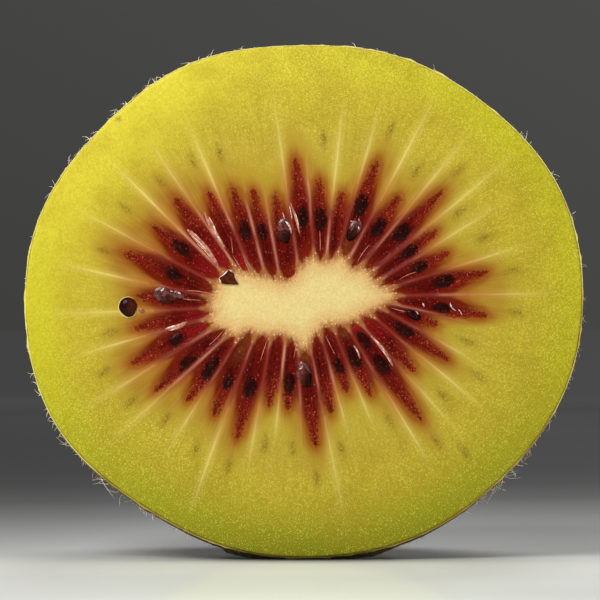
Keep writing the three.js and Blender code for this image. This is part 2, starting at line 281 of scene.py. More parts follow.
vein = np.zeros(face.shape[:2])
for place, distance in VEINS:
    along, across, _ = along_and_across(
        face, on_cut(place, distance), on_cut(place, distance + 1))
    vein = np.maximum(vein, np.exp(-(along / VEIN_LENGTH) ** 2 - (across / VEIN_WIDTH) ** 2))
fleck_off = np.linalg.norm(face - FLECK_MIDDLE, axis=-1) / FLECK_RADIUS
vein = np.maximum(vein, FLECK_STRENGTH * np.exp(-fleck_off ** 2))

# A space that runs with the rays, for streaks: round the star in its first two numbers, and out
# from the core in the third.
RAY_SPACE_RADIUS = 16
turn = 2 * np.pi * face_places / COUNT
ray_space = np.stack(
    [np.cos(turn) * RAY_SPACE_RADIUS, np.sin(turn) * RAY_SPACE_RADIUS, from_core], -1)

# 1 over the middle of a seed under its film, 0 at its edge.
filmed_seed = np.full(face.shape[:2], -1.0)
for cell, share, length in FILMED_SEEDS:
    middle = ROOTS[cell] + (TIPS[cell] - ROOTS[cell]) * share
    along, across, _ = along_and_across(face, middle, middle + TIPS[cell] - ROOTS[cell])
    half = length / 2
    narrow = 1 + FILMED_NARROW * np.minimum(along / half, 0)
    narrow = np.maximum(narrow, FILMED_LEAST)
    over = 1 - np.hypot(along / half, across / (half * FILMED_WIDTH * narrow))
    filmed_seed = np.maximum(filmed_seed, over)

# How far out a point lies between the core's edge and the tips of its neighbours.
reach = from_core / column_lengths


def root_stain(cells):
    """1 in the inner parts of some cells, 0 elsewhere."""
    stain = np.zeros(face.shape[:2])
    for cell, end in cells:
        along, across, length = along_and_across(face, ROOTS[cell], TIPS[cell])
        share = along / length
        here = step(share, end, end * STAIN_SOFT) * step(share, *STAIN_START)
        width = STAIN_HALF + STAIN_GROWTH * share
        stain = np.maximum(stain, here * np.exp(-(across / width) ** 2))
    return stain


crimson, amber_root = root_stain(CRIMSON), root_stain(AMBER_ROOTS)

# Relief: the pulp has sunk a little between its firmer walls, and the seeds stand up under it.
# Each is given by its height and by where it eases in.
CELL_SINK, SINK_EASE = 0.1, (-0.25, 0.5)
WALL_RISE, WALL_EASE, WALL_WIDTH = 0.05, (-1.6, -0.1), 0.25
SEED_RISE, SEED_EASE = 0.12, (-0.25, 0.75)
GRIT, GRIT_EASE = 0.01, (-0.1, 0.2)
RIM_DROP, DROP_FROM = 0.25, 0.7
dice = np.random.default_rng(11)
sink = step(pulp, *SINK_EASE) * CELL_SINK
rise = np.exp(-(wall_off / WALL_WIDTH) ** 2) * strand * step(pulp, *WALL_EASE) * WALL_RISE
bump = step(filmed_seed, *SEED_EASE) * SEED_RISE
grit = dice.normal(0, GRIT, face.shape[:2]) * step(pulp, *GRIT_EASE)
drop = np.clip((spread - DROP_FROM) / (1 - DROP_FROM), 0, 1) ** 2 * RIM_DROP
face_y = CUT_Y + sink - rise - bump - grit + drop

# ---------------------------------------------------------------- core
# The pale column in the middle of the fruit, firm, dry-looking and fine-grained. It runs back
# towards the stem. Its edge is a fuzzy tan border, drawn out between the seed cells.

# Behind the cut the core evens out to a tilted oval, and tapers to a share of its size.
CORE_DEPTH = 27
CORE_END, CORE_TAPER = 0.4, 1.5
CORE_HALF_WIDTH, CORE_HALF_HEIGHT = 8.4, 3.4
CORE_TILT = np.radians(10)
CORE_EVEN_FROM = 12
CORE_BACKS = [0.6, 6, 12, 18, 23, CORE_DEPTH]
# How far the fruit's middle line drops for each millimetre behind the cut.
AXIS_SINK = 0.08
# Half the gap between neighbours behind the cut.
CLEARANCE = 0.1
# The map that a finish is laid out on is a little wider than the fruit. The core fills it.
MAP_WIDTH = 2.12 * MEAN_RADIUS
CORE_ON_MAP = 2.6
# Faces that meet at more than this angle keep a sharp edge between them.
SHARP_EDGE = np.radians(60)


def core_edge(back):
    """The core's outline at a distance behind the cut."""
    arm = face[CORE_LINE] - CORE_MIDDLE
    turn = np.arctan2(arm[:, 1], arm[:, 0]) - CORE_TILT
    oval = 1 / np.hypot(np.cos(turn) / CORE_HALF_WIDTH, np.sin(turn) / CORE_HALF_HEIGHT)
    evenness = min(back / CORE_EVEN_FROM, 1)
    radius = np.linalg.norm(arm, axis=-1) * (1 - evenness) + oval * evenness
    radius *= 1 - (1 - CORE_END) * (back / CORE_DEPTH) ** CORE_TAPER
    return CORE_MIDDLE + unit(arm) * radius[:, None]


def ring_at(outline, back, nudge):
    """A ring of points on an outline behind the cut, moved out from its middle by a nudge."""
    moved = outline + unit(outline - CORE_MIDDLE) * nudge
    height = FACE_HEIGHT - AXIS_SINK * back + moved[:, 1]
    return np.stack([moved[:, 0], np.full(COLUMNS, CUT_Y + back), height], -1)


def cut_belt(first, last):
    """Rows of the face as rings of points, with what lies on them."""
    part = slice(first, last + 1)
    points = np.stack([face[part, :, 0], face_y[part], FACE_HEIGHT + face[part, :, 1]], -1)
    masks = {
        "pulp": np.clip(pulp, *PULP_LIMITS), "wall_off": wall_off, "strand": strand,
        "off_core": off_core, "spread": spread, "vein": vein,
        "filmed_seed": filmed_seed, "ray_space": ray_space,
        "reach": reach, "crimson": crimson, "amber_root": amber_root,
    }
    return points, {key: values[part] for key, values in masks.items()}


def with_hidden(masks, before, after):
    """The same masks with the first and last rows again for rings that don't show."""
    return {key: np.concatenate([np.repeat(values[:1], before, 0), values,
                                 np.repeat(values[-1:], after, 0)])
            for key, values in masks.items()}


def ring_faces(levels, count, start=0, poles=True):
    """Faces of a body of rings of points. It closes on two poles, the two points after its
    rings, or its last ring is joined to the first."""
    here = np.arange(start, start + count)
    after = np.roll(here, -1)
    faces = []
    for level in range(levels - 1 if poles else levels):
        low, high = level * count, (level + 1) % levels * count
        faces += np.stack([low + here, high + here, high + after, low + after], -1).tolist()
    if poles:
        pole, end = start + levels * count, (levels - 1) * count
        faces += [[pole, a, b] for a, b in zip(here.tolist(), after.tolist())]
        faces += [[pole + 1, end + b, end + a] for a, b in zip(here.tolist(), after.tolist())]
    return faces


def stand(name, data):
    """Puts an object in the scene."""
    thing = bpy.data.objects.new(name, data)
    bpy.context.scene.collection.objects.link(thing)
    return thing


def ring_mesh(name, rings, hidden, masks, plan, poles=None):
    """A closed body from rings of points, each counter-clockwise from in front. They run over the
    front from its middle outwards, and on over the sides to the back. Hidden bands of faces keep
    flat, sharp faces. Masks are named values of the points, and the plan is where they lie on the
    map."""
    levels, count = rings.shape[:2]
    points = rings.reshape(-1, 3)
    bands = list(range(levels))
    if poles:
        points = np.vstack([points, *poles])
        bands = [*range(levels - 1), -1, levels]
    mesh = bpy.data.meshes.new(name)
    mesh.from_pydata((points * MM).tolist(), [], ring_faces(levels, count, 0, bool(poles)))
    smooth = np.repeat([band not in hidden for band in bands], count)
    mesh.polygons.foreach_set("use_smooth", smooth.tolist())
    for key, values in masks.items():
        size = values.shape[2] if values.ndim == 3 else 1
        kind, field = ("FLOAT_VECTOR", "vector") if size == 3 else ("FLOAT", "value")
        values = values.reshape(-1, size)
        if poles:
            values = np.vstack([values, values[:1], values[-1:]])
        mesh.attributes.new(key, kind, "POINT").data.foreach_set(field, values.ravel())
    flat = plan.reshape(-1, 2)
    if poles:
        flat = np.vstack([flat, flat[:count].mean(0), flat[-count:].mean(0)])
    corners = np.zeros(len(mesh.loops), int)
    mesh.loops.foreach_get("vertex_index", corners)
    mesh.uv_layers.new(name="OFBake").data.foreach_set(
        "uv", (flat[corners] / MAP_WIDTH + 0.5).ravel())
    mesh.validate()
    mesh.set_sharp_from_angle(angle=SHARP_EDGE)
    return stand(name, mesh)


belt, masks = cut_belt(0, CORE_LINE)
hidden = np.stack([ring_at(core_edge(back), back, -CLEARANCE) for back in CORE_BACKS])
# On the map, its sides lie just beyond the belt.
beyond = np.linspace(1.01, 1.2, len(hidden))
plan = np.concatenate([
    belt[..., [0, 2]] - (0, FACE_HEIGHT), face[CORE_LINE] * beyond[:, None, None]])
core = ring_mesh(
    "pale_core", np.concatenate([belt, hidden]),
    poles=[[CORE_MIDDLE[0], CUT_Y, FACE_HEIGHT + CORE_MIDDLE[1]], hidden[-1].mean(0)],
    hidden=range(CORE_LINE, CORE_LINE + len(hidden) + 2),
    masks=with_hidden(masks, 0, len(hidden)), plan=plan * CORE_ON_MAP)


def srgb(red, green, blue):
    """A colour in everyday 0 to 255 numbers, as the linear colour that a shader takes."""
    def linear(value):
        value /= 255
        return value / 12.92 if value <= 0.04045 else ((value + 0.055) / 1.055) ** 2.4
    return linear(red), linear(green), linear(blue), 1.0


CREAM = srgb(220, 198, 130)
CORE_TAN = srgb(208, 164, 104)
BORDER_BROWN = srgb(152, 84, 42)
POCKET_RED = srgb(88, 14, 5)
BORDER_DOT = srgb(240, 214, 150)


class Bench:
    """Sets shader nodes in a tree and joins them up."""

    def __init__(self, tree):
        self.tree = tree

    def node(self, kind, **settings):
        made = self.tree.nodes.new(kind)
        for key, value in settings.items():
            setattr(made, key, value)
        return made

    def feed(self, socket, value):
        if isinstance(value, bpy.types.NodeSocket):
            self.tree.links.new(value, socket)
        else:
            socket.default_value = value

    def math(self, operation, *values):
        made = self.node("ShaderNodeMath", operation=operation)
        for socket, value in zip(made.inputs, values):
            self.feed(socket, value)
        return made.outputs[0]

    def times(self, *values):
        product = values[0]
        for value in values[1:]:
            product = self.math("MULTIPLY", product, value)
        return product

    def plus(self, base, *others):
        """A value with shares of other values on top, each given as (value, share)."""
        for value, share in others:
            base = self.math("MULTIPLY_ADD", value, share, base)
        return base

    def swing(self, noise):
        """A noise moved down, so that it swings to both sides of 0."""
        return self.math("SUBTRACT", noise, 0.5)

    def step(self, value, low, high, start=0.0, end=1.0):
        """A smooth step of a value between two limits, from a start to an end."""
        made = self.node("ShaderNodeMapRange", interpolation_type="SMOOTHSTEP")
        for label, given in zip(("Value", "From Min", "From Max", "To Min", "To Max"),
                                (value, low, high, start, end)):
            self.feed(made.inputs[label], given)
        return made.outputs["Result"]

    def near(self, distance, width):
        """1 where a distance is 0, and falling away over a width."""
        share = self.math("DIVIDE", distance, width)
        square = self.math("MULTIPLY", share, share)
        return self.math("EXPONENT", self.math("MULTIPLY", square, -1.0))

    def mix(self, share, under, over, blend="MIX"):
        made = self.node("ShaderNodeMix", data_type="RGBA", blend_type=blend)
        self.feed(made.inputs["Factor"], share)
        self.feed(made.inputs[6], under)
        self.feed(made.inputs[7], over)
        return made.outputs[2]

    def coats(self, colour, *coats):
        """A colour under coats of other colours, each given as (share, colour)."""
        for share, tint in coats:
            colour = self.mix(share, colour, tint)
        return colour

    def shaded(self, colour, strength):
        """A colour times a number."""
        grey = self.node("ShaderNodeCombineColor")
        for socket in grey.inputs:
            self.feed(socket, strength)
        return self.mix(1.0, colour, grey.outputs[0], "MULTIPLY")

    def mask(self, name):
        return self.node("ShaderNodeAttribute", attribute_name=name).outputs["Fac"]

    def space(self, size):
        """The piece's own space, counted in sizes in millimetres. A pair of sizes counts the
        space that runs with the rays instead, round the star and out from the core."""
        if isinstance(size, tuple):
            around, out = size
            made = self.node("ShaderNodeVectorMath", operation="MULTIPLY")
            rays = self.node("ShaderNodeAttribute", attribute_name="ray_space")
            self.feed(made.inputs[0], rays.outputs["Vector"])
            made.inputs[1].default_value = (1 / around, 1 / around, 1 / out)
        else:
            made = self.node("ShaderNodeVectorMath", operation="SCALE")
            self.feed(made.inputs[0], self.node("ShaderNodeTexCoord").outputs["Object"])
            made.inputs["Scale"].default_value = 1 / (size * MM)
        return made.outputs[0]

    def place(self):
        """A point's X, Y and Z in the piece's own space, in millimetres."""
        split = self.node("ShaderNodeSeparateXYZ")
        self.feed(split.inputs[0], self.space(1.0))
        return split.outputs

    def noise(self, size, detail=2.0, roughness=0.5):
        made = self.node("ShaderNodeTexNoise")
        self.feed(made.inputs["Vector"], self.space(size))
        for label, value in (("Scale", 1.0), ("Detail", detail), ("Roughness", roughness)):
            made.inputs[label].default_value = value
        return made.outputs["Fac"]

    def sacs(self, size):
        """Distance from the middle of the nearest of many small sacs, and a number for each."""
        made = self.node("ShaderNodeTexVoronoi")
        self.feed(made.inputs["Vector"], self.space(size))
        made.inputs["Scale"].default_value = 1.0
        number = self.node("ShaderNodeSeparateColor")
        self.feed(number.inputs[0], made.outputs["Color"])
        return made.outputs["Distance"], number.outputs[0]

    def use(self, group, **values):
        """Places a shader node group with values for its inputs."""
        made = self.node("ShaderNodeGroup", node_tree=group)
        for label, value in values.items():
            self.feed(made.inputs[label], value)
        return made.outputs


def effect(name, *colours_under):
    """A shader node group for a tissue, which puts out its colour and its height. It may take in
    the colour of what lies under it. Gives the group, its bench, inputs and outputs."""
    tree = bpy.data.node_groups.new(name, "ShaderNodeTree")
    for label in colours_under:
        tree.interface.new_socket(name=label, in_out="INPUT", socket_type="NodeSocketColor")
    for label, kind in (("Colour", "NodeSocketColor"), ("Height", "NodeSocketFloat")):
        tree.interface.new_socket(name=label, in_out="OUTPUT", socket_type=kind)
    bench = Bench(tree)
    return tree, bench, bench.node("NodeGroupInput").outputs, bench.node("NodeGroupOutput").inputs


def finish(name, **constants):
    """A material with its constant values set on the shader itself."""
    made = bpy.data.materials.new(name)
    made.use_nodes = True
    surface = next(n for n in made.node_tree.nodes if n.type == "BSDF_PRINCIPLED")
    for label, value in constants.items():
        surface.inputs[label.replace("_", " ")].default_value = value
    return made, Bench(made.node_tree), surface.inputs


def raise_surface(bench, surface, height, strength, distance):
    """Feeds a height to the shader's normal, its full height given in millimetres."""
    made = bench.node("ShaderNodeBump")
    made.inputs["Strength"].default_value = strength
    made.inputs["Distance"].default_value = distance * MM
    bench.feed(made.inputs["Height"], height)
    bench.feed(surface["Normal"], made.outputs["Normal"])


def dress(piece, slot, made, *nodes):
    """Gives a piece its material, its place in the frame and the nodes it stands for."""
    piece.data.materials.append(made)
    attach(piece, "root")
    if nodes:
        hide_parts(*nodes)


pale_core, bench, given, result = effect("pale_core", "Under")
fuzz = bench.swing(bench.noise(0.28, 3.0, 0.7))
# The border follows the core's edge, drawn out by fibres and cut in by pockets of pulp.
off_edge = bench.mask("off_core")
fibre = bench.times(bench.swing(bench.noise((0.4, 2.5), 3.0)), bench.step(off_edge, -2.6, -0.6))
border = bench.plus(off_edge, (fibre, 0.9), (fuzz, 1.0))
pocket = bench.plus(bench.times(fuzz, 1.6), (bench.mask("pulp"), 3.0))
border = bench.math("MAXIMUM", border, bench.math("SUBTRACT", pocket, 0.4))
edge = bench.plus(border, (bench.near(bench.mask("wall_off"), 0.3), -0.8))
cover = bench.step(edge, -0.5, 0.5, 1.0, 0.0)
sac_off, sac_number = bench.sacs(0.3)
dots = bench.times(bench.step(sac_off, 0.1, 0.4, 1.0, 0.0), bench.step(sac_number, 0.45, 0.6),
                   bench.step(border, -1.5, -0.3))
grain = bench.noise(0.16, 3.0, 0.7)
colour = bench.coats(
    CREAM,
    (bench.step(border, -2.0, -0.1), CORE_TAN),
    (bench.step(border, -0.7, 0.3, 0.0, 0.9), BORDER_BROWN),
    (bench.times(dots, 0.7), BORDER_DOT))
colour = bench.shaded(colour, bench.step(grain, 0.3, 0.7, 0.88, 1.06))
bench.feed(result["Colour"], bench.mix(cover, given["Under"], colour))
bench.feed(result["Height"], bench.plus(bench.times(dots, 0.6), (grain, 0.4)))

core_finish, bench, surface = finish("core", Roughness=0.6, Specular_IOR_Level=0.15)
cream = bench.use(pale_core, Under=POCKET_RED)
bench.feed(surface["Base Color"], cream["Colour"])
raise_surface(bench, surface, cream["Height"], 0.4, 0.06)
dress(core, "core", core_finish, "core")

# ---------------------------------------------------------------- outer flesh
# The juicy wall of the fruit between the seed cells and the skin, soft, wet and a little
# see-through. It has pale strands that run on from the walls of the seed cells, a fine grain of
# juice sacs, and beyond each cell a vein cut across. Red juice stains it amber near the cells.

# The fruit's form behind the cut: a rounded end, widest a little way back.
DEPTH = 34
WIDEST_BACK = 5
FULLNESS = 2.6
# Skin this close to the floor has settled onto it, from a little way behind the cut.
SETTLE, SETTLED_FROM = 0.3, 1.5
# The star of seed cells behind the cut: it ends at a share of its size, and its teeth fade out to
# a mean reach past the core.
SEED_FLESH_DEPTH = 23
SEED_FLESH_END = 0.3
MEAN_REACH = 8
# Where the star's rings lie behind the cut, and the gap that its end and the core's leave behind
# them.
STAR_BACKS = [0.6, 6, 13, 19, SEED_FLESH_DEPTH]
END_GAP = 0.3
# The rim of the flesh rolls over to its outside, which has rings of its own.
ROLL_TURNS = np.radians([22, 45, 68])
FLESH_BACKS = [RIM_DROP, 1.1, 1.8, 3, 5, 7, 10, 13, 16, 19, 22, 25, 27.5, 29.5, 31, 31.8]
FLESH_END = 32.3


def section_scale(back):
    """Size of the fruit's section a distance behind the cut, as a share of the cut's size."""
    def size(distance):
        share = np.abs(distance - WIDEST_BACK) / (DEPTH - WIDEST_BACK)
        return np.sqrt(np.maximum(1 - share ** FULLNESS, 0))
    return size(back) / size(0)


def star_edge(back):
    """The outline of the star of seed cells at a distance behind the cut."""
    share = min(back / SEED_FLESH_DEPTH, 1)
    scale = SEED_FLESH_END + (1 - SEED_FLESH_END) * np.sqrt(1 - share ** 2)
    core_outline = core_edge(back)
    arm = face[STAR_LINE] - face[CORE_LINE]
    outward = unit(core_outline - CORE_MIDDLE) * MEAN_REACH
    arm = arm * (1 - share ** 2) + outward * share ** 2
    return core_outline + arm * scale


def about_axis(radius, bearings, back):
    """Points at a radius and bearings about the fruit's middle line, behind the cut."""
    height = FACE_HEIGHT - AXIS_SINK * back + radius * np.sin(bearings)
    depth = np.broadcast_to(CUT_Y + back, np.shape(height))
    return np.stack([radius * np.cos(bearings), depth, height], -1)


def skin_ring(back, inset):
    """A ring round the fruit behind the cut, a depth below the skin's outside."""
    scale = section_scale(back) - inset / MEAN_RADIUS
    ring = about_axis(outline_radius(rim_bearings) * scale, rim_bearings, back)
    if back > SETTLED_FROM:
        ring[:, 2] = np.minimum(ring[:, 2], 2 * (ring[:, 2] - SETTLE))
    ring[:, 2] = np.maximum(ring[:, 2], inset)
    return ring


belt, masks = cut_belt(STAR_LINE, len(face) - 1)
socket = [ring_at(core_edge(back), back + END_GAP, CLEARANCE)
          for back in (CORE_DEPTH, SEED_FLESH_DEPTH)]
socket += [ring_at(star_edge(back), back, CLEARANCE) for back in STAR_BACKS[::-1]]
roll = []
for turned in ROLL_TURNS:
    ring = skin_ring(0, SKIN_THICKNESS + RIM_ROUND * (1 - np.sin(turned)))
    ring[:, 1] = CUT_Y + RIM_DROP + RIM_ROUND * (1 - np.cos(turned))
    roll.append(ring)
under_skin = [skin_ring(back + RIM_ROUND, SKIN_THICKNESS) for back in FLESH_BACKS]
# On the map, the hole for the star lies inside the belt, and the outside just beyond it.
plan = [face[STAR_LINE] * share for share in np.linspace(0.4, 0.97, len(socket))]
plan += list(face[STAR_LINE:])
plan += [rim_points * (1 + 0.001 * ring) for ring in range(len(roll) + len(under_skin))]
outer_flesh = ring_mesh(
    "wet_flesh", np.concatenate([socket, belt, roll, under_skin]),
    poles=[socket[0].mean(0), [0, CUT_Y + FLESH_END, under_skin[-1][:, 2].mean()]],
    hidden=[-1, *range(len(socket))],
    masks=with_hidden(masks, len(socket), len(roll) + len(under_skin)), plan=np.stack(plan))

FLESH_INNER = srgb(186, 162, 56)
FLESH_MIDDLE = srgb(193, 174, 46)
FLESH_RIM = srgb(193, 187, 32)
FLESH_GREEN = srgb(104, 120, 3)
FLESH_LIT = srgb(216, 201, 58)
FLESH_SHADE = srgb(158, 133, 26)
GLOW = srgb(166, 132, 36)
AMBER = srgb(144, 84, 24)
MAROON = srgb(102, 20, 5)
STRAND_CREAM = srgb(221, 201, 110)
STRAND_PINK = srgb(192, 128, 64)
VEIN_OLIVE = srgb(112, 84, 14)
SAC_PALE_AND_HIGHLIGHT = srgb(226, 218, 96)
GRAIN_DARK = srgb(138, 126, 14)

flesh_tint, bench, _, result = effect("flesh_tint")
spread_out = bench.mask("spread")
depth = bench.mask("pulp")
reach_out = bench.mask("reach")
streak = bench.noise((0.2, 4.0), 3.0, 0.6)
cloud = bench.noise(3.0, 3.0)
grain = bench.noise(0.3, 3.0, 0.7)
place = bench.place()
right = place["X"]
up = bench.math("SUBTRACT", place["Z"], FACE_HEIGHT)
low = bench.times(up, -1.0)

# The clear flesh: greener and darker at the lower right, and paler at the upper left, which is
# partly its own yellower tone and partly painted light.
low_right = bench.plus(low, (right, 0.12))
lit = bench.plus(up, (right, -0.5))
tint = bench.coats(
    FLESH_INNER,
    (bench.step(spread_out, 0.58, 0.82), FLESH_MIDDLE),
    (bench.step(spread_out, 0.82, 0.96), FLESH_RIM),
    (bench.times(bench.step(low_right, 0.0, 30.0), bench.step(spread_out, 0.7, 1.0)), FLESH_GREEN),
    (bench.times(bench.step(lit, 5.0, 31.0), bench.step(spread_out, 0.7, 0.96)), FLESH_LIT),
    (bench.step(cloud, 0.4, 0.75, 0.0, 0.35), FLESH_SHADE),
    (bench.times(bench.step(streak, 0.6, 0.3), bench.step(spread_out, 0.98, 0.6), 0.45),
     FLESH_SHADE),
    (bench.step(grain, 0.6, 0.3, 0.0, 0.22), FLESH_SHADE))

# Its juice sacs: dark gaps between them and bright flecks on them, fainter at the upper left. The
# flecks are partly the sacs' own pale colour and partly painted highlights.
upper_left = bench.plus(bench.times(right, -1.0), (up, 0.6))
lively = bench.times(bench.step(upper_left, 26.0, 12.0, 0.42, 1.0),
                     bench.step(spread_out, 0.5, 0.85, 0.45, 1.0))
sac_fleck_and_highlight = bench.times(bench.step(bench.noise(0.12, 2.0, 0.6), 0.53, 0.72), lively)
sac_off, _ = bench.sacs(0.22)
gaps = bench.times(bench.step(sac_off, 0.2, 0.66), lively,
                   bench.step(low, -20.0, 18.0, 0.34, 0.46))
tint = bench.coats(tint, (gaps, GRAIN_DARK), (bench.times(sac_fleck_and_highlight, 0.64), SAC_PALE_AND_HIGHLIGHT))

# The stain of red juice round the cells' tips. It runs out along the streaks, reaches farthest on
# the left, and is weaker between the cells.
leftward = bench.plus(bench.times(up, 0.3), (right, -0.8))
between = bench.times(bench.step(depth, -0.1, -0.8), bench.step(reach_out, 1.1, 0.85))
stain = bench.plus(
    reach_out, (bench.swing(streak), -0.26), (bench.step(depth, -1.2, 0.1), -0.16),
    (bench.step(leftward, 6.0, 15.0), -0.1), (between, 0.17))
speck = bench.noise(0.15, 2.0, 0.7)
veins = bench.times(bench.mask("vein"), bench.step(speck, 0.38, 0.62, 0.2, 1.0), 0.9)

# The strands, each a fine line in a softer one.
tone = bench.noise((2.2, 30.0))
strand_tint = bench.mix(bench.step(reach_out, 1.25, 0.8), STRAND_CREAM, STRAND_PINK)
fine = bench.times(bench.near(bench.mask("wall_off"), 0.14), 0.85)
soft = bench.times(bench.near(bench.mask("wall_off"), 0.4), 0.36)
strands = bench.times(bench.math("MAXIMUM", fine, soft), bench.mask("strand"),
                      bench.step(tone, 0.35, 0.65, 0.65, 1.0), bench.step(reach_out, 0.45, 0.8))
tint = bench.coats(
    tint,
    (bench.step(stain, 1.4, 1.0, 0.0, 0.95), GLOW),
    (bench.step(stain, 1.18, 0.78), AMBER),
    (bench.step(stain, 0.8, 0.5), MAROON),
    (veins, VEIN_OLIVE),
    (strands, strand_tint))
bench.feed(result["Colour"], tint)
bench.feed(result["Height"], bench.plus(bench.times(grain, 0.8), (sac_fleck_and_highlight, 0.5)))

flesh_finish, bench, surface = finish(
    "outer_flesh", Roughness=0.4, Specular_IOR_Level=0.14, Coat_Weight=0.03, Coat_Roughness=0.1)
flesh = bench.use(flesh_tint)
bench.feed(surface["Base Color"], flesh["Colour"])
raise_surface(bench, surface, flesh["Height"], 0.5, 0.06)
dress(outer_flesh, "outer_flesh", flesh_finish, "outer_flesh")

# ---------------------------------------------------------------- seed flesh
# The star of seed cells. Each cell is a narrow pocket of dark red pulp between thin pinkish
# walls, wet and glossy, coarse with small juice sacs towards its tip.

STAR_ON_MAP = 1.4

belt, masks = cut_belt(CORE_LINE, STAR_LINE)
sides = [ring_at(star_edge(back), back, -CLEARANCE) for back in STAR_BACKS]
hole = [ring_at(core_edge(back), back, CLEARANCE) for back in CORE_BACKS[-2::-1]]
# On the map, its sides lie just beyond the belt, and the hole for the core inside it.
plan = list(face[CORE_LINE:STAR_LINE + 1])
plan += [face[STAR_LINE] * share for share in np.linspace(1.01, 1.05, len(sides))]
plan += [face[CORE_LINE] * share for share in np.linspace(0.5, 0.95, len(hole))]
seed_flesh = ring_mesh(
    "seed_star", np.concatenate([belt, sides, hole]),
    hidden=range(SEED_ROWS, SEED_ROWS + len(sides) + len(hole) + 1),
    masks=with_hidden(masks, 0, len(sides) + len(hole)), plan=np.stack(plan) * STAR_ON_MAP)

PULP_ROOT = srgb(112, 26, 6)
PULP_DARK = srgb(56, 4, 2)
PULP_RED = srgb(100, 10, 4)
PULP_TIP = srgb(138, 36, 15)
TIP_DARK = srgb(74, 13, 6)
PULP_CRIMSON = srgb(138, 16, 20)
PULP_AMBER = srgb(104, 50, 16)
PAINTED_SAC_GLINT = srgb(214, 108, 84)
WALL_PINK = srgb(128, 46, 36)
WALL_PALE = srgb(200, 130, 104)
SEED_BLACK = srgb(24, 4, 3)

red_pulp, bench, given, result = effect("red_pulp", "Under")
depth = bench.mask("pulp")
reach_out = bench.mask("reach")
ragged = bench.swing(bench.noise(0.38, 3.0, 0.7))
streak = bench.noise((0.25, 2.5), 3.0, 0.6)
sac_off, sac_number = bench.sacs(0.25)
mottle = bench.noise((0.3, 0.5), 3.0, 0.7)
mottle = bench.plus(bench.times(mottle, 0.6), (streak, 0.8))
granule = bench.noise(0.15, 2.0, 0.6)
grainy = bench.plus(bench.times(mottle, 0.4), (granule, 0.7))

# The pulp's ragged edge, its root, its granular tip, and its clear red or amber inner parts.
edge = bench.plus(depth, (ragged, 0.9), (bench.swing(streak), 0.5),
                  (bench.step(sac_off, 0.2, 0.6), -0.2))
cover = bench.step(edge, -0.24, 0.14)
roots = bench.times(bench.step(reach_out, 0.22, 0.02), bench.step(mottle, 0.5, 0.8, 0.5, 1.0))
tips = bench.step(bench.plus(reach_out, (ragged, 0.6)), 0.45, 0.75)
clear_red = bench.times(bench.mask("crimson"), bench.step(grainy, 0.5, 0.74, 0.12, 0.85))
amber = bench.times(bench.mask("amber_root"), bench.step(ragged, -0.2, 0.15, 0.3, 1.0))

# The seeds that show through it, and painted highlights for the glints of its juice sacs.
blot = bench.plus(bench.mask("filmed_seed"), (ragged, 1.1))
seeds_under = bench.times(bench.step(blot, -0.3, 0.2), bench.step(mottle, 0.95, 0.65, 0.68, 1.0))
painted_sac_glint = bench.times(bench.step(sac_off, 0.1, 0.38, 1.0, 0.0), bench.step(sac_number, 0.4, 0.85),
                    bench.step(reach_out, 0.15, 0.75, 0.45, 1.0),
                    bench.step(seeds_under, 0.8, 0.1, 0.4, 1.0))
colour = bench.coats(
    PULP_DARK,
    (bench.step(mottle, 0.55, 0.85), PULP_RED),
    (roots, PULP_ROOT),
    (tips, bench.mix(bench.step(grainy, 0.54, 0.74), TIP_DARK, PULP_TIP)),
    (clear_red, PULP_CRIMSON),
    (amber, PULP_AMBER),
    (bench.times(seeds_under, 0.95), SEED_BLACK),
    (bench.times(painted_sac_glint, 0.6), PAINTED_SAC_GLINT))

# The thin walls between the cells, palest where they leave the core.
tone = bench.noise((2.0, 6.0))
wall_tint = bench.coats(
    WALL_PINK, (bench.step(tone, 0.45, 0.7), WALL_PALE),
    (bench.step(bench.mask("off_core"), 1.2, 0.2), WALL_PALE))
walls = bench.times(bench.near(bench.mask("wall_off"), 0.13), bench.step(reach_out, 0.95, 0.6),
                    bench.step(streak, 0.2, 0.6, 0.6, 1.0))
bench.feed(result["Colour"], bench.coats(given["Under"], (cover, colour), (walls, wall_tint)))
round_sacs = bench.step(sac_off, 0.0, 0.6, 0.6, 0.0)
bench.feed(result["Height"], bench.times(cover, bench.math("ADD", granule, round_sacs)))

pulp_finish, bench, surface = finish(
    "seed_flesh", Roughness=0.35, Specular_IOR_Level=0.04, Coat_Weight=0.06,
    Coat_Roughness=0.06)
flesh = bench.use(flesh_tint)
juice = bench.use(red_pulp, Under=flesh["Colour"])
cream = bench.use(pale_core, Under=juice["Colour"])
bench.feed(surface["Base Color"], cream["Colour"])
raise_surface(bench, surface, bench.plus(juice["Height"], (flesh["Height"], 0.5)), 0.4, 0.06)
dress(seed_flesh, "seed_flesh", pulp_finish, "seed_flesh")

# ---------------------------------------------------------------- seeds
# Small black-brown seeds, hard and glossy with juice. Most lie under a film of pulp and are part
# of the star's own surface. These are the ones that the knife laid bare, half sunk in their
# cells, with one loose seed that was pushed out onto the flesh.

SEED_SKIN = srgb(24, 4, 4)
SEED_GRAIN = srgb(84, 18, 10)
SEED_BROWN = srgb(96, 38, 14)
SEED_FILM = srgb(140, 74, 62)
SEED_LEVELS, SEED_SIDES, SEED_POLE = 18, 24, 0.1
# How far a seed narrows towards its sharp end, as a share of its width.
SEED_NARROW = 0.3
SEED_HALF_THICKNESS = 0.46
SEED_SUNK = 0.2
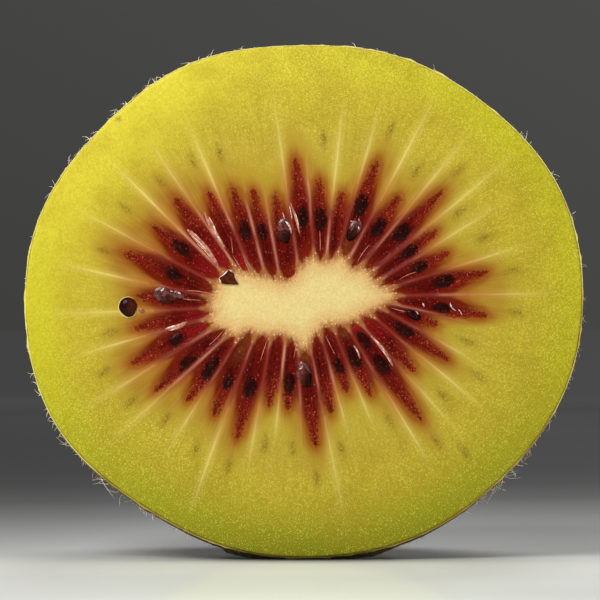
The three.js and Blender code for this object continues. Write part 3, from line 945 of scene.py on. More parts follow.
# The bare seeds: [middle, bearing of its blunt end, length, width, bearing and share of a milky
# film, bearing and share of a brown side].
BARE_SEEDS = [
    [(-1.88, 6.3), 278, 1.8, 1.34, 100, 0.45, 180, 0.3],
    [(4.55, 6.5), 241, 1.95, 1.02, 70, 0.3, 0, 0.2],
    [(-12.82, 0.32), 180, 1.7, 1.28, 145, 0.6, 320, 0.9],
    [(0.08, -6.93), 277, 2.25, 1.28, 140, 0.5, 180, 0.9],
    [(10.14, -1.25), 327, 1.65, 0.8, 0, 0.0, 0, 0.0],
]
# Where such a side sets in and is full, from the middle (0) to the edge (1).
SIDE_EASE = (-0.35, 0.6)
# The loose one: its middle, bearing and sizes, how deep it is sunk, and how brown its right is.
LOOSE_MIDDLE, LOOSE_BEARING = (-16.4, -0.55), 100
LOOSE_LENGTH, LOOSE_WIDTH, LOOSE_HALF_THICKNESS = 1.9, 1.74, 0.5
LOOSE_SUNK = 0.02
LOOSE_BROWN = 0.7
# The seed that was cut through: its corners, and how brown it is. Its domed cut stands out of the
# flesh, as (scale, distance behind the cut) from the middle outwards and back.
CUT_SEED = np.array([(-7.01, 2.97), (-7.94, 2.13), (-7.69, 1.62), (-6.08, 1.54), (-6.55, 2.65)])
CUT_SEED_BROWN = 0.7
CUT_SEED_LEVELS = [
    (0.35, -0.08), (0.62, -0.1), (0.82, -0.16), (0.95, -0.16), (1.0, -0.02), (0.9, 0.4)]


def tube(path, across, outwards, sides, helper=(0, -1, 0)):
    """Rings round a path, with half their width across it and half their height towards the
    helper's side."""
    ways = unit(np.gradient(path, axis=0))
    side = unit(np.cross(ways, helper))
    up = np.cross(side, ways)
    turns = np.arange(sides) * 2 * np.pi / sides
    return (path[:, None] + side[:, None] * np.cos(turns)[:, None] * across[:, None, None]
            + up[:, None] * np.sin(turns)[:, None] * outwards[:, None, None])


def bodies_mesh(name, bodies, marks=None):
    """One mesh of many closed bodies, each a stack of rings closed at both ends. Marks are named
    values for each body's points."""
    points, faces = [], []
    total = 0
    for rings in bodies:
        levels, count = rings.shape[:2]
        faces += ring_faces(levels, count, total)
        points += [rings.reshape(-1, 3), rings[:1].mean(1), rings[-1:].mean(1)]
        total += levels * count + 2
    mesh = bpy.data.meshes.new(name)
    mesh.from_pydata((np.vstack(points) * MM).tolist(), [], faces)
    mesh.polygons.foreach_set("use_smooth", [True] * len(faces))
    for key, values in (marks or {}).items():
        values = np.concatenate(
            [part for body in values for part in (body.ravel(), body[0, :1], body[-1, :1])])
        mesh.attributes.new(key, "FLOAT", "POINT").data.foreach_set("value", values)
    return stand(name, mesh)


def in_space(points, back):
    """Points of the face as points in space, a distance behind the plane of the cut."""
    points = np.asarray(points, float)
    back = np.broadcast_to(back, len(points))
    return np.stack([points[:, 0], CUT_Y + back, FACE_HEIGHT + points[:, 1]], -1)


def heading(bearing):
    """The way on the face that a bearing points to."""
    turn = np.radians(bearing)
    return np.array([np.cos(turn), np.sin(turn)])


def egg(levels, pole):
    """Places along a round body from -1 to 1, but for an angle at its poles, and how wide it is
    there."""
    along = -np.cos(np.linspace(pole, np.pi - pole, levels))
    return along, np.sqrt(1 - along ** 2)


def seed_body(middle, bearing, length, width, half_thickness, sunk):
    """A drop-shaped seed whose blunt end points to a bearing."""
    along, round_off = egg(SEED_LEVELS, SEED_POLE)
    path = in_space(np.add(middle, np.outer(along, heading(bearing)) * length / 2), sunk)
    return tube(path, round_off * (1 + SEED_NARROW * np.minimum(along, 0)) * width / 2,
                round_off * half_thickness, SEED_SIDES)


def side_share(body, bearing, share):
    """A share on the side of a body that a bearing points to, and 0 on the other."""
    off = (body - body.reshape(-1, 3).mean(0))[..., [0, 2]] @ heading(bearing)
    return step(off / np.abs(off).max(), *SIDE_EASE) * share


seed_bodies, films_over, brown_sides = [], [], []
for middle, bearing, length, width, film, film_share, brown, brown_share in BARE_SEEDS:
    body = seed_body(middle, bearing, length, width, SEED_HALF_THICKNESS, SEED_SUNK)
    seed_bodies.append(body)
    films_over.append(side_share(body, film, film_share))
    brown_sides.append(side_share(body, brown, brown_share))
body = seed_body(LOOSE_MIDDLE, LOOSE_BEARING, LOOSE_LENGTH, LOOSE_WIDTH, LOOSE_HALF_THICKNESS,
                 LOOSE_SUNK)
seed_bodies.append(body)
films_over.append(np.zeros(body.shape[:2]))
brown_sides.append(side_share(body, 0, LOOSE_BROWN))

# The cut seed's edge, with its points spread over its sides.
closed = np.vstack([CUT_SEED, CUT_SEED[:1]])
way_round = np.arange(SEED_SIDES) * len(CUT_SEED) / SEED_SIDES
edge = np.stack([np.interp(way_round, np.arange(len(closed)), line) for line in closed.T], -1)
cut_middle = CUT_SEED.mean(0)
body = np.stack([in_space(cut_middle + (edge - cut_middle) * scale, back)
                 for scale, back in CUT_SEED_LEVELS])
seed_bodies.append(body)
films_over.append(np.zeros(body.shape[:2]))
brown_sides.append(np.full(body.shape[:2], CUT_SEED_BROWN))

seeds = bodies_mesh("seeds", seed_bodies, {"milky": films_over, "browned": brown_sides})
seed_finish, bench, surface = finish(
    "seed", Roughness=0.45, Specular_IOR_Level=0.03, Coat_Weight=0.12, Coat_Roughness=0.02)
pitted = bench.noise(0.17, 3.0, 0.7)
blotchy = bench.noise(0.4, 3.0, 0.7)
brown = bench.times(bench.mask("browned"), bench.step(blotchy, 0.4, 0.6, 0.4, 1.0))
milky = bench.times(bench.step(blotchy, 0.35, 0.65, 0.4, 1.0),
                    bench.step(pitted, 0.42, 0.6, 0.3, 1.0))
bench.feed(surface["Base Color"], bench.coats(
    SEED_SKIN,
    (bench.step(pitted, 0.5, 0.72), SEED_GRAIN),
    (brown, SEED_BROWN),
    (bench.times(bench.mask("milky"), milky), SEED_FILM)))
raise_surface(bench, surface, blotchy, 0.3, 0.08)
dress(seeds, "seed", seed_finish)

# ---------------------------------------------------------------- films and fibres
# Wet pulp lies in low pads round the bare seeds and in ridges along a few walls, with bright wet
# lines on it, partly pale film and partly painted highlights. Thin pale fibres lie in some of the
# cells, and a wet rim and a red drop by the loose seed. All are soft, and one with the flesh under
# them.

FILM_PINK = srgb(158, 82, 62)
FILM_PALE = srgb(198, 138, 110)
FILM_WHITE_AND_HIGHLIGHT = srgb(250, 230, 218)
FILM_CREAM = srgb(214, 200, 140)
PAD_GREY = srgb(112, 54, 48)
PAD_RED = srgb(66, 16, 12)
# Broad ridges: [start, end, half the width, height over the surface, bow].
RIDGES = [
    [(-10.9, 6.7), (-8.0, 3.3), 0.3, 0.12, 0.03], [(-9.3, 8.3), (-7.3, 4.9), 0.22, 0.14, -0.03],
    [(-1.3, 9.2), (-0.4, 6.2), 0.13, 0.1, 0.03], [(6.2, -3.2), (8.3, -6.1), 0.17, 0.12, 0.05],
    [(4.6, -4.1), (5.2, -5.4), 0.12, 0.1, 0.08], [(-13.0, -2.6), (-10.9, -1.9), 0.24, 0.12, -0.08],
]
# Low pads of wet pulp that the bare seeds lie in, a little sunk in the cut: [middle, bearing,
# length, width, half the thickness].
PADS = [
    [(-13.0, 0.62), 165, 2.2, 1.5, 0.24], [(-11.7, 0.6), 150, 1.2, 0.8, 0.2],
    [(-1.85, 6.85), 95, 1.9, 1.4, 0.26], [(4.75, 6.85), 62, 1.7, 1.2, 0.24],
    [(-0.06, -6.6), 277, 2.2, 1.4, 0.24],
]
PAD_SUNK = 0.06
# Thin bright lines and spots of wet film on the ridges and by the seeds, in the ridges' measures.
# Their white is partly the film's own and partly painted highlights.
WET_LINES_AND_HIGHLIGHTS = [
    [(-10.5, 6.1), (-9.0, 4.6), 0.07, 0.2, 0.05], [(-10.0, 5.4), (-8.6, 3.9), 0.05, 0.2, 0.04],
    [(-10.6, 6.6), (-9.6, 5.6), 0.04, 0.16, 0.05], [(-8.9, 7.9), (-8.3, 6.9), 0.06, 0.2, 0.0],
    [(-8.45, 7.1), (-7.65, 5.5), 0.12, 0.22, -0.06], [(-1.0, 8.6), (-0.45, 6.4), 0.06, 0.18, 0.05],
    [(-1.35, 8.9), (-1.1, 7.6), 0.06, 0.16, 0.0], [(6.5, -3.5), (7.6, -4.8), 0.08, 0.18, 0.05],
    [(7.0, -4.3), (8.1, -5.9), 0.06, 0.18, 0.06], [(4.6, -4.15), (5.15, -5.2), 0.06, 0.14, 0.08],
    [(-12.75, -2.45), (-11.9, -2.2), 0.12, 0.18, -0.1],
    [(-12.6, -2.75), (-11.4, -2.2), 0.05, 0.16, -0.05],
    [(13.6, -0.1), (14.2, -0.9), 0.07, 0.14, -0.15],
    [(14.35, -0.75), (14.7, -1.3), 0.05, 0.1, 0.1],
    [(-1.8, 7.5), (-1.2, 6.35), 0.12, 0.42, 0.12], [(-2.0, 8.3), (-1.8, 7.6), 0.05, 0.14, 0.0],
    [(4.95, 7.1), (5.12, 6.5), 0.07, 0.34, 0.1], [(4.3, 7.5), (4.75, 7.45), 0.07, 0.3, -0.1],
    [(5.1, 7.7), (5.15, 7.3), 0.06, 0.16, 0.0], [(-13.4, 0.95), (-13.05, 1.25), 0.1, 0.32, -0.1],
    [(-12.5, 0.95), (-12.2, 0.9), 0.07, 0.32, 0.0],
    [(-11.8, 0.85), (-11.45, 0.65), 0.1, 0.26, 0.0],
    [(-0.5, -6.35), (-0.15, -5.95), 0.08, 0.3, -0.2],
    [(10.4, -0.92), (10.58, -1.15), 0.07, 0.42, 0.1],
    [(11.05, -0.15), (11.2, -0.5), 0.08, 0.12, 0.0],
]
# Fine fibres from a start to an end, each with a chance bow.
FIBRE_HALF, FIBRE_LIFT, FIBRE_BOW = 0.04, 0.02, 0.05
FIBRES = [
    [(-6.85, 6.05), (-6.65, 4.3)], [(-6.65, 4.3), (-5.7, 2.6)], [(6.15, 5.35), (4.9, 3.5)],
    [(10.5, 2.75), (8.9, 2.05)], [(-0.66, -3.5), (-1.0, -5.4)], [(-7.5, -2.7), (-8.9, -4.1)],
    [(-5.7, 4.3), (-4.8, 2.3)], [(-8.6, 0.7), (-11.0, 1.0)], [(-9.6, 0.1), (-12.0, 0.35)],
    [(-3.4, -3.5), (-4.1, -5.6)], [(2.0, -3.2), (2.9, -5.0)], [(1.5, 4.6), (1.45, 6.6)],
    [(8.1, -0.6), (10.0, -1.0)],
]
# The pale rim that the knife left round the cut seed: the corners that its stretches start from.
CUT_RIM_STARTS = (4, 0, 1, 3)
CUT_RIM_HALF, CUT_RIM_HEIGHT, CUT_RIM_BOW = 0.07, 0.2, 0.03
# The wet rim round most of the loose seed, at bearings from its blunt end.
WET_RIM_TURNS = np.linspace(-50, 255, 60)
WET_RIM_GAP, WET_RIM_HALF, WET_RIM_HEIGHT = 0.02, 0.06, 0.08
# The red drop, a little longer than wide.
DROP_MIDDLE, DROP_HALF_WIDTH, DROP_HEIGHT = (-15.12, -0.9), 0.26, 0.16
DROP_WAY, DROP_NARROW = (1, -0.25), 0.8
DROP_LEVELS, DROP_SIDES, DROP_POLE = 12, 16, 0.15
# How finely a strip is made, and how its two ends taper off.
STRIP_POINTS, STRIP_END, STRIP_TAPER = 14, 0.06, 0.6


def surface_y(points):
    """Where the surface of the cut lies in front of or behind its plane, at points of the face."""
    flat, heights = face.reshape(-1, 2), face_y.ravel()
    nearest = [np.linalg.norm(flat - point, axis=-1).argmin() for point in points]
    return heights[nearest]


def strip(points, half_width, half_height, lift=0.0, sides=10):
    """A raised line over the face that tapers off at both ends."""
    path = in_space(points, surface_y(points) - CUT_Y - lift)
    taper = np.sin(np.linspace(STRIP_END, np.pi - STRIP_END, len(path))) ** STRIP_TAPER
    return tube(path, half_width * taper, half_height * taper, sides)


def bent(start, end, bow):
    """Points from a start to an end with a slight bow."""
    share = np.linspace(0, 1, STRIP_POINTS)[:, None]
    way = np.subtract(end, start)
    return (np.array(start) + way * share
            + np.array([-way[1], way[0]]) * bow * np.sin(share * np.pi))


def round_seed(middle, bearing, half_length, half_width, turns):
    """Points round a seed's edge, at bearings from its blunt end."""
    turns = np.radians(turns)[:, None]
    way = heading(bearing)
    aside = np.array([-way[1], way[0]])
    return (np.array(middle) + way * np.cos(turns) * half_length
            + aside * np.sin(turns) * half_width)


def mottled(name, tints, mottle, limits, relief=None, **constants):
    """A finish of two tints that blend between two limits of a mottle, given as its size, detail
    and roughness. The relief is its strength and full height."""
    made, bench, surface = finish(name, **constants)
    height = bench.noise(*mottle)
    bench.feed(surface["Base Color"], bench.mix(bench.step(height, *limits), *tints))
    if relief:
        raise_surface(bench, surface, height, *relief)
    return made


dice = np.random.default_rng(23)
pink_bodies = [strip(bent(start, end, bow), half, high)
               for start, end, half, high, bow in RIDGES]
pink_bodies += [strip(bent(start, end, dice.uniform(-FIBRE_BOW, FIBRE_BOW)),
                      FIBRE_HALF, FIBRE_HALF, FIBRE_LIFT, 6) for start, end in FIBRES]
pads = [seed_body(*pad, PAD_SUNK) for pad in PADS]
in_pad = [np.zeros(body.shape[:2]) for body in pink_bodies]
in_pad += [np.ones(body.shape[:2]) for body in pads]
films = bodies_mesh("films", pink_bodies + pads, {"in_pad": in_pad})
film_finish, bench, surface = finish(
    "film", Roughness=0.3, Specular_IOR_Level=0.3, Coat_Weight=0.4, Coat_Roughness=0.05)
streak = bench.noise(0.4, 3.0, 0.6)
colour = bench.mix(bench.step(streak, 0.35, 0.65), FILM_PINK, FILM_PALE)
pad = bench.mix(bench.step(streak, 0.4, 0.62), PAD_RED, PAD_GREY)
bench.feed(surface["Base Color"], bench.mix(bench.mask("in_pad"), colour, pad))
raise_surface(bench, surface, streak, 0.8, 0.12)
dress(films, "seed_flesh", film_finish)

# White lines of wet film, partly painted highlights, and the pale rim round the cut seed.
white_lines_and_highlights = [strip(bent(start, end, bow), half, high)
                for start, end, half, high, bow in WET_LINES_AND_HIGHLIGHTS]
for corner in CUT_RIM_STARTS:
    stretch = bent(closed[corner], closed[corner + 1], CUT_RIM_BOW)
    white_lines_and_highlights.append(strip(stretch, CUT_RIM_HALF, CUT_RIM_HEIGHT))
line_and_highlight_finish = mottled(
    "wet_line_and_highlight", (FILM_PALE, FILM_WHITE_AND_HIGHLIGHT), (0.3, 3.0, 0.6), (0.42, 0.56), relief=(0.6, 0.1),
    Roughness=0.25, Specular_IOR_Level=0.5, Coat_Weight=0.6, Coat_Roughness=0.05)
dress(bodies_mesh("wet_lines_and_highlights", white_lines_and_highlights), "seed_flesh", line_and_highlight_finish)

rim = round_seed(LOOSE_MIDDLE, LOOSE_BEARING, LOOSE_LENGTH / 2, LOOSE_WIDTH / 2 + WET_RIM_GAP,
                 WET_RIM_TURNS)
wet_rims = bodies_mesh("wet_rims", [strip(rim, WET_RIM_HALF, WET_RIM_HEIGHT)])
rim_finish = mottled(
    "wet_rim", (STRAND_CREAM, FILM_CREAM), (0.5, 3.0), (0.3, 0.6),
    Roughness=0.3, Specular_IOR_Level=0.3, Coat_Weight=0.3, Coat_Roughness=0.05)
dress(wet_rims, "outer_flesh", rim_finish)

along, round_off = egg(DROP_LEVELS, DROP_POLE)
drop_path = in_space(np.add(DROP_MIDDLE, np.outer(along, DROP_WAY) * DROP_HALF_WIDTH), 0)
juice_drop = bodies_mesh("juice_drop", [tube(
    drop_path, round_off * DROP_HALF_WIDTH * DROP_NARROW, round_off * DROP_HEIGHT, DROP_SIDES)])
drop_finish = mottled(
    "juice_drop", (PULP_CRIMSON, AMBER), (0.4,), (0.35, 0.6),
    Roughness=0.2, Specular_IOR_Level=0.5, Coat_Weight=0.8, Coat_Roughness=0.03)
dress(juice_drop, "outer_flesh", drop_finish)

# ---------------------------------------------------------------- skin
# The thin dry skin, brown over green, which the knife cut through all round the face. It is one
# piece with the fruit and follows its form, with small pale pores and a scuffed look. At the
# stem end it dips into a shallow dimple.

SKIN_BROWN = srgb(126, 92, 48)
SKIN_OLIVE = srgb(112, 104, 44)
SKIN_DARK = srgb(82, 56, 30)
SKIN_PORE = srgb(176, 142, 92)
SKIN_EDGE = srgb(216, 202, 112)
EDGE_BROWN = srgb(158, 126, 58)
EDGE_PAINTED_SHADE = srgb(88, 66, 20)

# Where the rings of its outside lie behind the cut. The inside has all but the last few.
SKIN_BACKS = [RIM_DROP + 0.04, 0.8, 1.4, 2.4, 3.6, 5, 7, 9, 11, 13, 15, 17, 19, 21, 23, 24.8,
              26.4, 27.8, 29, 30, 30.9, 31.7, 32.3, 32.8, 33.2, 33.5, 33.7]
SKIN_INSIDE_BACKS = SKIN_BACKS[:22]
# The inside stands a little off the flesh, and closes this far behind its last ring.
SKIN_INSIDE_SHARE = 0.95
SKIN_INSIDE_END = 0.2
# How ragged the cut edge is, and the small bumps that the hairs stand on.
RAGGEDNESS = 0.09
RIM_BUMP, BUMP_FROM = 0.1, 0.2
# The dimple at the stem end, as (radius, distance behind the cut).
DIMPLE = [(3.7, 33.76), (3.2, 33.6), (2.7, 33.25), (2.2, 32.9), (1.6, 32.72)]

wear = np.random.default_rng(5)


def worn(strength):
    """An uneven wave round the rim."""
    wave = np.tile(wear.normal(0, strength, COLUMNS), 3)
    return np.convolve(wave, SMOOTHING, "same")[COLUMNS:-COLUMNS]


ragged_rim, bumps = worn(RAGGEDNESS), worn(1)
bump_height = np.maximum(bumps - BUMP_FROM, 0) * RIM_BUMP
outer_rings = [skin_ring(back, -bump_height) for back in SKIN_BACKS]
outer_rings[0][:, 1] += ragged_rim
outer_rings += [about_axis(radius, rim_bearings, back) for radius, back in DIMPLE]
inner_rings = [skin_ring(back, SKIN_THICKNESS * SKIN_INSIDE_SHARE) for back in SKIN_INSIDE_BACKS]
inner_rings[0][:, 1] += ragged_rim
bearing_plan = np.stack([np.cos(rim_bearings), np.sin(rim_bearings)], -1) * MEAN_RADIUS
# On the map, the inside lies in a narrow border round the outside.
plan = [bearing_plan * (1.045 - 0.001 * ring) for ring in range(len(inner_rings))]
plan += [bearing_plan * share for share in np.linspace(1.0, 0.05, len(outer_rings))]
at_cut = np.zeros((len(inner_rings) + len(outer_rings), COLUMNS))
at_cut[len(inner_rings) - 1:len(inner_rings) + 1] = 1
middle_height = FACE_HEIGHT - AXIS_SINK * SKIN_INSIDE_BACKS[-1]
skin = ring_mesh(
    "skin", np.concatenate([inner_rings[::-1], outer_rings]),
    poles=[[0, CUT_Y + SKIN_INSIDE_BACKS[-1] + SKIN_INSIDE_END, middle_height],
           [0, CUT_Y + DIMPLE[-1][1], middle_height]],
    hidden=[-1], masks={"at_cut": at_cut}, plan=np.stack(plan))

skin_finish, bench, surface = finish("skin", Roughness=0.7, Specular_IOR_Level=0.25)
cloud = bench.noise(5.0, 4.0)
fleck = bench.noise(0.6, 3.0, 0.7)
pore_off, pore_number = bench.sacs(1.3)
pores = bench.times(bench.step(pore_off, 0.08, 0.22, 1.0, 0.0), bench.step(pore_number, 0.4, 0.6))
# The cut edge is browner at the lower right, and painted shade darkens it where it meets the
# floor.
place = bench.place()
up = bench.math("SUBTRACT", place["Z"], FACE_HEIGHT)
low_right = bench.math("SUBTRACT", bench.times(place["X"], 0.4), up)
browned = bench.plus(low_right, (bench.swing(cloud), 60.0))
edge = bench.coats(
    SKIN_EDGE,
    (bench.step(browned, 4.0, 24.0), EDGE_BROWN),
    (bench.step(place["Z"], 1.6, 0.5), EDGE_PAINTED_SHADE))
bench.feed(surface["Base Color"], bench.coats(
    SKIN_BROWN,
    (bench.step(cloud, 0.35, 0.65), SKIN_OLIVE),
    (bench.step(fleck, 0.45, 0.7, 0.0, 0.7), SKIN_DARK),
    (bench.times(pores, 0.7), SKIN_PORE),
    (bench.times(bench.mask("at_cut"), bench.step(fleck, 0.25, 0.5, 0.5, 1.0)), edge)))
raise_surface(bench, surface, bench.plus(fleck, (pores, 0.5)), 0.5, 0.15)
dress(skin, "skin", skin_finish)

# ---------------------------------------------------------------- stem scar
# The scar where the stalk broke off, a short round peg of rough, hard, woody bark. It grew out of
# the end of the fruit and stands in the dimple.

BARK = srgb(74, 50, 28)
BARK_PALE = srgb(150, 118, 76)
SCAR_SIDES = 48
# Its rings from the foot to the top, as (radius, distance behind the cut).
SCAR_RINGS = [(1.85, 32.5), (1.75, 32.9), (1.62, 33.4), (1.55, 33.8), (1.32, 34.0), (0.95, 33.92),
              (0.45, 33.8)]
# Its uneven outline, as (waves round it, height, start).
SCAR_LUMPS = [(5, 0.05, 1), (11, 0.03, 0)]

turns = np.arange(SCAR_SIDES) * 2 * np.pi / SCAR_SIDES
lumpy = 1 + sum(height * np.sin(waves * turns + start) for waves, height, start in SCAR_LUMPS)
stem_scar = bodies_mesh("stem_scar", [np.stack([
    about_axis(radius * lumpy, turns, back) for radius, back in SCAR_RINGS])])
scar_finish = mottled(
    "stem_scar", (BARK, BARK_PALE), (0.4, 4.0, 0.7), (0.4, 0.65), relief=(0.7, 0.2),
    Roughness=0.85, Specular_IOR_Level=0.2)
dress(stem_scar, "skin", scar_finish)

# ---------------------------------------------------------------- hairs
# Fine stiff hairs grow all over the skin. Most are short stubble, and some stand in curly tufts
# that show round the rim.

HAIR_TINT = srgb(255, 248, 225)
HAIR_COUNT = 1900
HAIR_HALF_WIDTH = 0.032
HAIR_POINTS = 8
# The stubble: where it stands behind the cut, its least length, and the shape and scale of the
# chance length on top.
HAIR_BACKS = (0.7, 33.2)
HAIR_LEAST = 0.12
HAIR_SHAPE, HAIR_SCALE = 1.5, 0.13
# Tufts near the cut, as (bearing, hairs, length).
TUFTS = [(156, 3, 1.1), (149, 4, 1.0), (143, 4, 1.1), (134, 5, 0.9), (131, 5, 0.9), (126, 4, 0.9),
         (123, 4, 0.9), (113, 2, 0.4), (103, 2, 0.6), (85, 2, 0.35), (38, 3, 0.9), (36, 3, 0.8),
         (27, 2, 0.5), (17, 2, 0.7), (14, 2, 0.6), (8, 3, 0.6), (-3, 3, 0.6), (-14, 2, 0.4),
         (188, 3, 0.7), (196, 3, 0.8), (205, 3, 0.9), (210, 3, 0.9), (221, 5, 1.2), (224, 5, 1.2),
         (230, 5, 1.1), (233, 4, 0.9), (240, 2, 0.5), (-33, 3, 0.9), (-37, 4, 1.0),
         (-38.5, 4, 1.2), (-41, 4, 1.2), (-44, 4, 1.1), (-47.5, 3, 1.2), (-56, 2, 0.5)]
TUFT_SPREAD = np.radians(1.4)
# Where a tuft's hairs stand behind the cut, and how long they are, as shares of its length.
TUFT_BACKS, TUFT_LENGTHS = (0.5, 3.0), (0.5, 1.1)
# How deep its root sits in the skin, and how much it has narrowed at its tip.
HAIR_SUNK, HAIR_TAPER = 0.03, 0.75
# No hair reaches lower than this, or as far forward as this distance behind the cut.
LOWEST_HAIR = 0.25
FRONT_HAIR = 0.2
# How far a hair leans and curls round the fruit and rearwards, and how far it droops.
LEAN_ROUND, LEAN_BACK = 0.7, 0.4
CURL_ROUND, CURL_BACK, DROOP = 1.3, 0.5, 0.6
# The ways round and rearwards are found from points of the skin this much farther on.
NEXT_TURN, NEXT_BACK, LAST_BACK = 0.01, 0.2, DEPTH - 0.1
# A way that no hair runs along, so that none of them twists.
ACROSS_HAIRS = (0.36, 0.48, 0.8)

dice = np.random.default_rng(31)
hairs = list(zip(
    dice.uniform(-np.pi, np.pi, HAIR_COUNT), dice.uniform(*HAIR_BACKS, HAIR_COUNT),
    HAIR_LEAST + dice.gamma(HAIR_SHAPE, HAIR_SCALE, HAIR_COUNT)))
for bearing, count, length in TUFTS:
    for _ in range(count):
        hairs.append((np.radians(bearing) + dice.normal(0, TUFT_SPREAD),
                      dice.uniform(*TUFT_BACKS), length * dice.uniform(*TUFT_LENGTHS)))


def skin_point(bearing, back):
    return about_axis(outline_radius(bearing) * section_scale(back), bearing, back)


share = np.linspace(0, 1, HAIR_POINTS)[:, None]
taper = HAIR_HALF_WIDTH * (1 - HAIR_TAPER * share[:, 0])
hair_bodies = []
for bearing, back, length in hairs:
    root = skin_point(bearing, back)
    along = unit(skin_point(bearing + NEXT_TURN, back) - root)
    rearward = unit(skin_point(bearing, min(back + NEXT_BACK, LAST_BACK)) - root)
    out = unit(np.cross(rearward, along))
    out = out if out @ (root - [0, root[1], FACE_HEIGHT]) > 0 else -out
    lean = along * dice.normal(0, LEAN_ROUND) + rearward * dice.normal(0, LEAN_BACK)
    curl = along * dice.normal(0, CURL_ROUND) + rearward * dice.normal(0, CURL_BACK)
    curl = curl - out * dice.uniform(0, DROOP)
    path = root - out * HAIR_SUNK + (unit(out + lean) * share + curl * 0.5 * share ** 2) * length
    if path[:, 2].min() >= LOWEST_HAIR and path[:, 1].min() >= CUT_Y + FRONT_HAIR:
        hair_bodies.append(tube(path, taper, taper, 4, ACROSS_HAIRS))
hair_finish = mottled(
    "hair", (SKIN_PORE, HAIR_TINT), (2.0,), (0.2, 0.5), Roughness=0.6, Specular_IOR_Level=0.3)
dress(bodies_mesh("hairs", hair_bodies), "skin", hair_finish)

# ---------------------------------------------------------------- floor, light and camera
# A pale floor with a painted pool of light, a painted contact shadow and a painted reflection of
# the fruit, and some painted light of its own, against a dark grey room. Three soft round lamps
# light the fruit, and the camera stands straight in front of its cut.

# The painted pool of light, as (millimetres behind its front, grey), and how far it is skewed.
POOL_FRONT = -60
POOL_DEPTH = 720
POOL_SKEW = -0.19
POOL = [(0, 0.62), (12, 0.675), (28, 0.705), (36, 0.68), (44, 0.58), (51, 0.48), (68, 0.424),
        (96, 0.31), (127, 0.19), (163, 0.1), (206, 0.058), (255, 0.0445), (314, 0.0405),
        (386, 0.04), (476, 0.05), (589, 0.081), (700, 0.185)]
# The floor's tint, and how much painted light it gives by itself, which lifts the shadows under
# the fruit.
POOL_TINT = (0.99, 1.0, 0.985)
GLOW_UNDER = 0.16
# Where a painted contact shadow lies under the front of the fruit, and the faint tint of a painted
# reflection of the fruit round it.
CONTACT_SHADOW_AT = 45
REFLECTION_TINT = (0.97, 1.0, 0.9, 1.0)
# Half the floor's width, in metres.
FLOOR_HALF = 3.0

sheet = bpy.data.meshes.new("floor")
sheet.from_pydata([(right * FLOOR_HALF, back * FLOOR_HALF, 0)
                   for right, back in ((-1, -1), (1, -1), (1, 1), (-1, 1))], [], [(0, 1, 2, 3)])
floor = stand("floor", sheet)
floor_finish, bench, surface = finish(
    "floor", Roughness=1.0, Specular_IOR_Level=0.0, Coat_Weight=0.3, Coat_Roughness=0.04,
    Emission_Strength=GLOW_UNDER)
place = bench.place()
sideways = place["X"]
behind = bench.math("SUBTRACT", place["Y"], POOL_FRONT)
askew = bench.times(sideways, bench.step(behind, 48.0, 90.0))
behind = bench.plus(behind, (askew, POOL_SKEW))
pool = bench.node("ShaderNodeValToRGB")
bench.feed(pool.inputs[0], bench.math("DIVIDE", behind, POOL_DEPTH))
while len(pool.color_ramp.elements) < len(POOL):
    pool.color_ramp.elements.new(0.5)
for stop, (distance, grey) in zip(pool.color_ramp.elements, POOL):
    stop.position = distance / POOL_DEPTH
    stop.color = (*(grey * share for share in POOL_TINT), 1)
# Painted light: the floor is brighter across its middle, and farther back it is lighter to the
# right.
middle = bench.step(bench.math("ABSOLUTE", sideways), 32.0, 0.0, 0.92, 1.1)
side = bench.times(bench.step(sideways, -55.0, 55.0, -0.14, 0.14), bench.step(behind, 40.0, 60.0))
# A painted contact shadow under the front of the fruit.
painted_contact_shadow = bench.times(bench.near(bench.math("SUBTRACT", behind, CONTACT_SHADOW_AT), 4.5),
                   bench.near(sideways, 12.0), -0.93)
tone = bench.times(middle, bench.math("ADD", side, 1.0), bench.math("ADD", painted_contact_shadow, 1.0))
# A painted reflection of the fruit tints the floor in front of it.
painted_reflection = bench.times(bench.near(sideways, 22.0), bench.step(behind, 60.0, 40.0))
grey = bench.mix(painted_reflection, bench.shaded(pool.outputs["Color"], tone), REFLECTION_TINT, "MULTIPLY")
bench.feed(surface["Base Color"], grey)
bench.feed(surface["Emission Color"], grey)
sheet.materials.append(floor_finish)

# The room: how grey its wall is as seen, which grows to the right and upwards, and how much
# light it gives.
WALL_GREY, WALL_RIGHTWARD, WALL_UPWARD = 0.0545, 0.07, 0.13
WALL_TINT = (1.0, 1.0, 0.955)
ROOM_LIGHT = (0.1, 0.1, 0.1, 1)

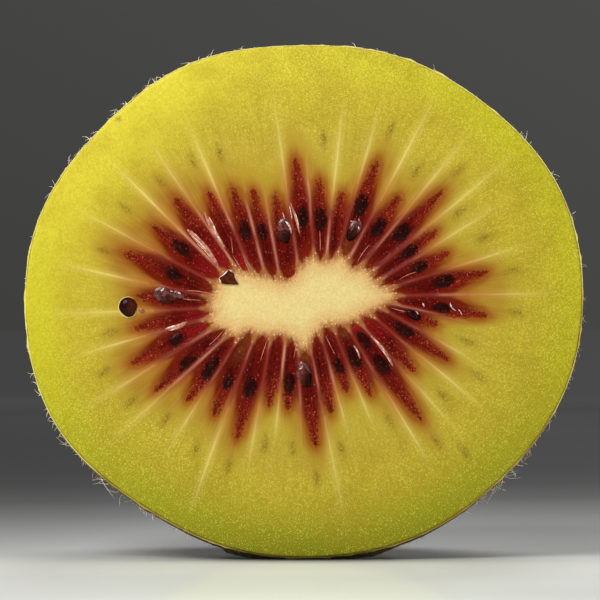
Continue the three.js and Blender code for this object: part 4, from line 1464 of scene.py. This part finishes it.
world = bpy.data.worlds.new("room")
bpy.context.scene.world = world
world.use_nodes = True
bench = Bench(world.node_tree)
split = bench.node("ShaderNodeSeparateXYZ")
bench.feed(split.inputs[0], bench.node("ShaderNodeTexCoord").outputs["Generated"])
rising = bench.math("MAXIMUM", split.outputs["Z"], 0.0)
wall_grey = bench.plus(WALL_GREY, (split.outputs["X"], WALL_RIGHTWARD), (rising, WALL_UPWARD))
wall_colour = bench.node("ShaderNodeCombineColor")
for socket, share in zip(wall_colour.inputs, WALL_TINT):
    bench.feed(socket, bench.times(wall_grey, share))
seen = bench.node("ShaderNodeBackground")
bench.feed(seen.inputs["Color"], wall_colour.outputs[0])
lighting = world.node_tree.nodes["Background"]
lighting.inputs["Color"].default_value = ROOM_LIGHT
either = bench.node("ShaderNodeMixShader")
bench.feed(either.inputs[0], bench.node("ShaderNodeLightPath").outputs["Is Camera Ray"])
bench.feed(either.inputs[1], lighting.outputs[0])
bench.feed(either.inputs[2], seen.outputs[0])
bench.feed(world.node_tree.nodes["World Output"].inputs["Surface"], either.outputs[0])

# Soft round lamps that look at the cut: (name, place in metres, size, power, colour).
LAMPS = [
    ("key", (-0.13, -0.19, 0.20), 0.16, 0.9, (1.0, 0.995, 0.98)),
    ("fill", (0.3, -0.3, 0.15), 0.3, 0.3, (1.0, 1.0, 1.0)),
    ("back", (0.07, 0.35, 0.35), 0.3, 2.0, (1.0, 1.0, 1.0)),
]
FACE_MIDDLE = Vector((0, CUT_Y, FACE_HEIGHT)) * MM
for name, place, size, power, tint in LAMPS:
    lamp = bpy.data.lights.new(name, "AREA")
    lamp.shape = "DISK"
    lamp.size = size
    lamp.energy = power
    lamp.color = tint
    held = stand(name, lamp)
    held.location = place
    held.rotation_euler = (FACE_MIDDLE - held.location).to_track_quat("-Z", "Y").to_euler()
    held.visible_camera = False

# The camera stands square to the cut and looks a little to the left of its middle. The view is
# as wide as this at the distance of the cut.
SENSOR = 36
VIEW_DISTANCE = 400
VIEW_WIDTH = 55.92
VIEW_ASIDE, VIEW_ABOVE = -0.386, 0.119
lens = bpy.data.cameras.new("camera")
lens.sensor_width = SENSOR
lens.lens = SENSOR * VIEW_DISTANCE / VIEW_WIDTH
lens.clip_start, lens.clip_end = 0.01, 20
camera = stand("camera", lens)
camera.location = Vector((VIEW_ASIDE, CUT_Y - VIEW_DISTANCE, FACE_HEIGHT + VIEW_ABOVE)) * MM
camera.rotation_euler = (np.pi / 2, 0, 0)
bpy.context.scene.camera = camera
bpy.context.scene.view_settings.view_transform = "Standard"
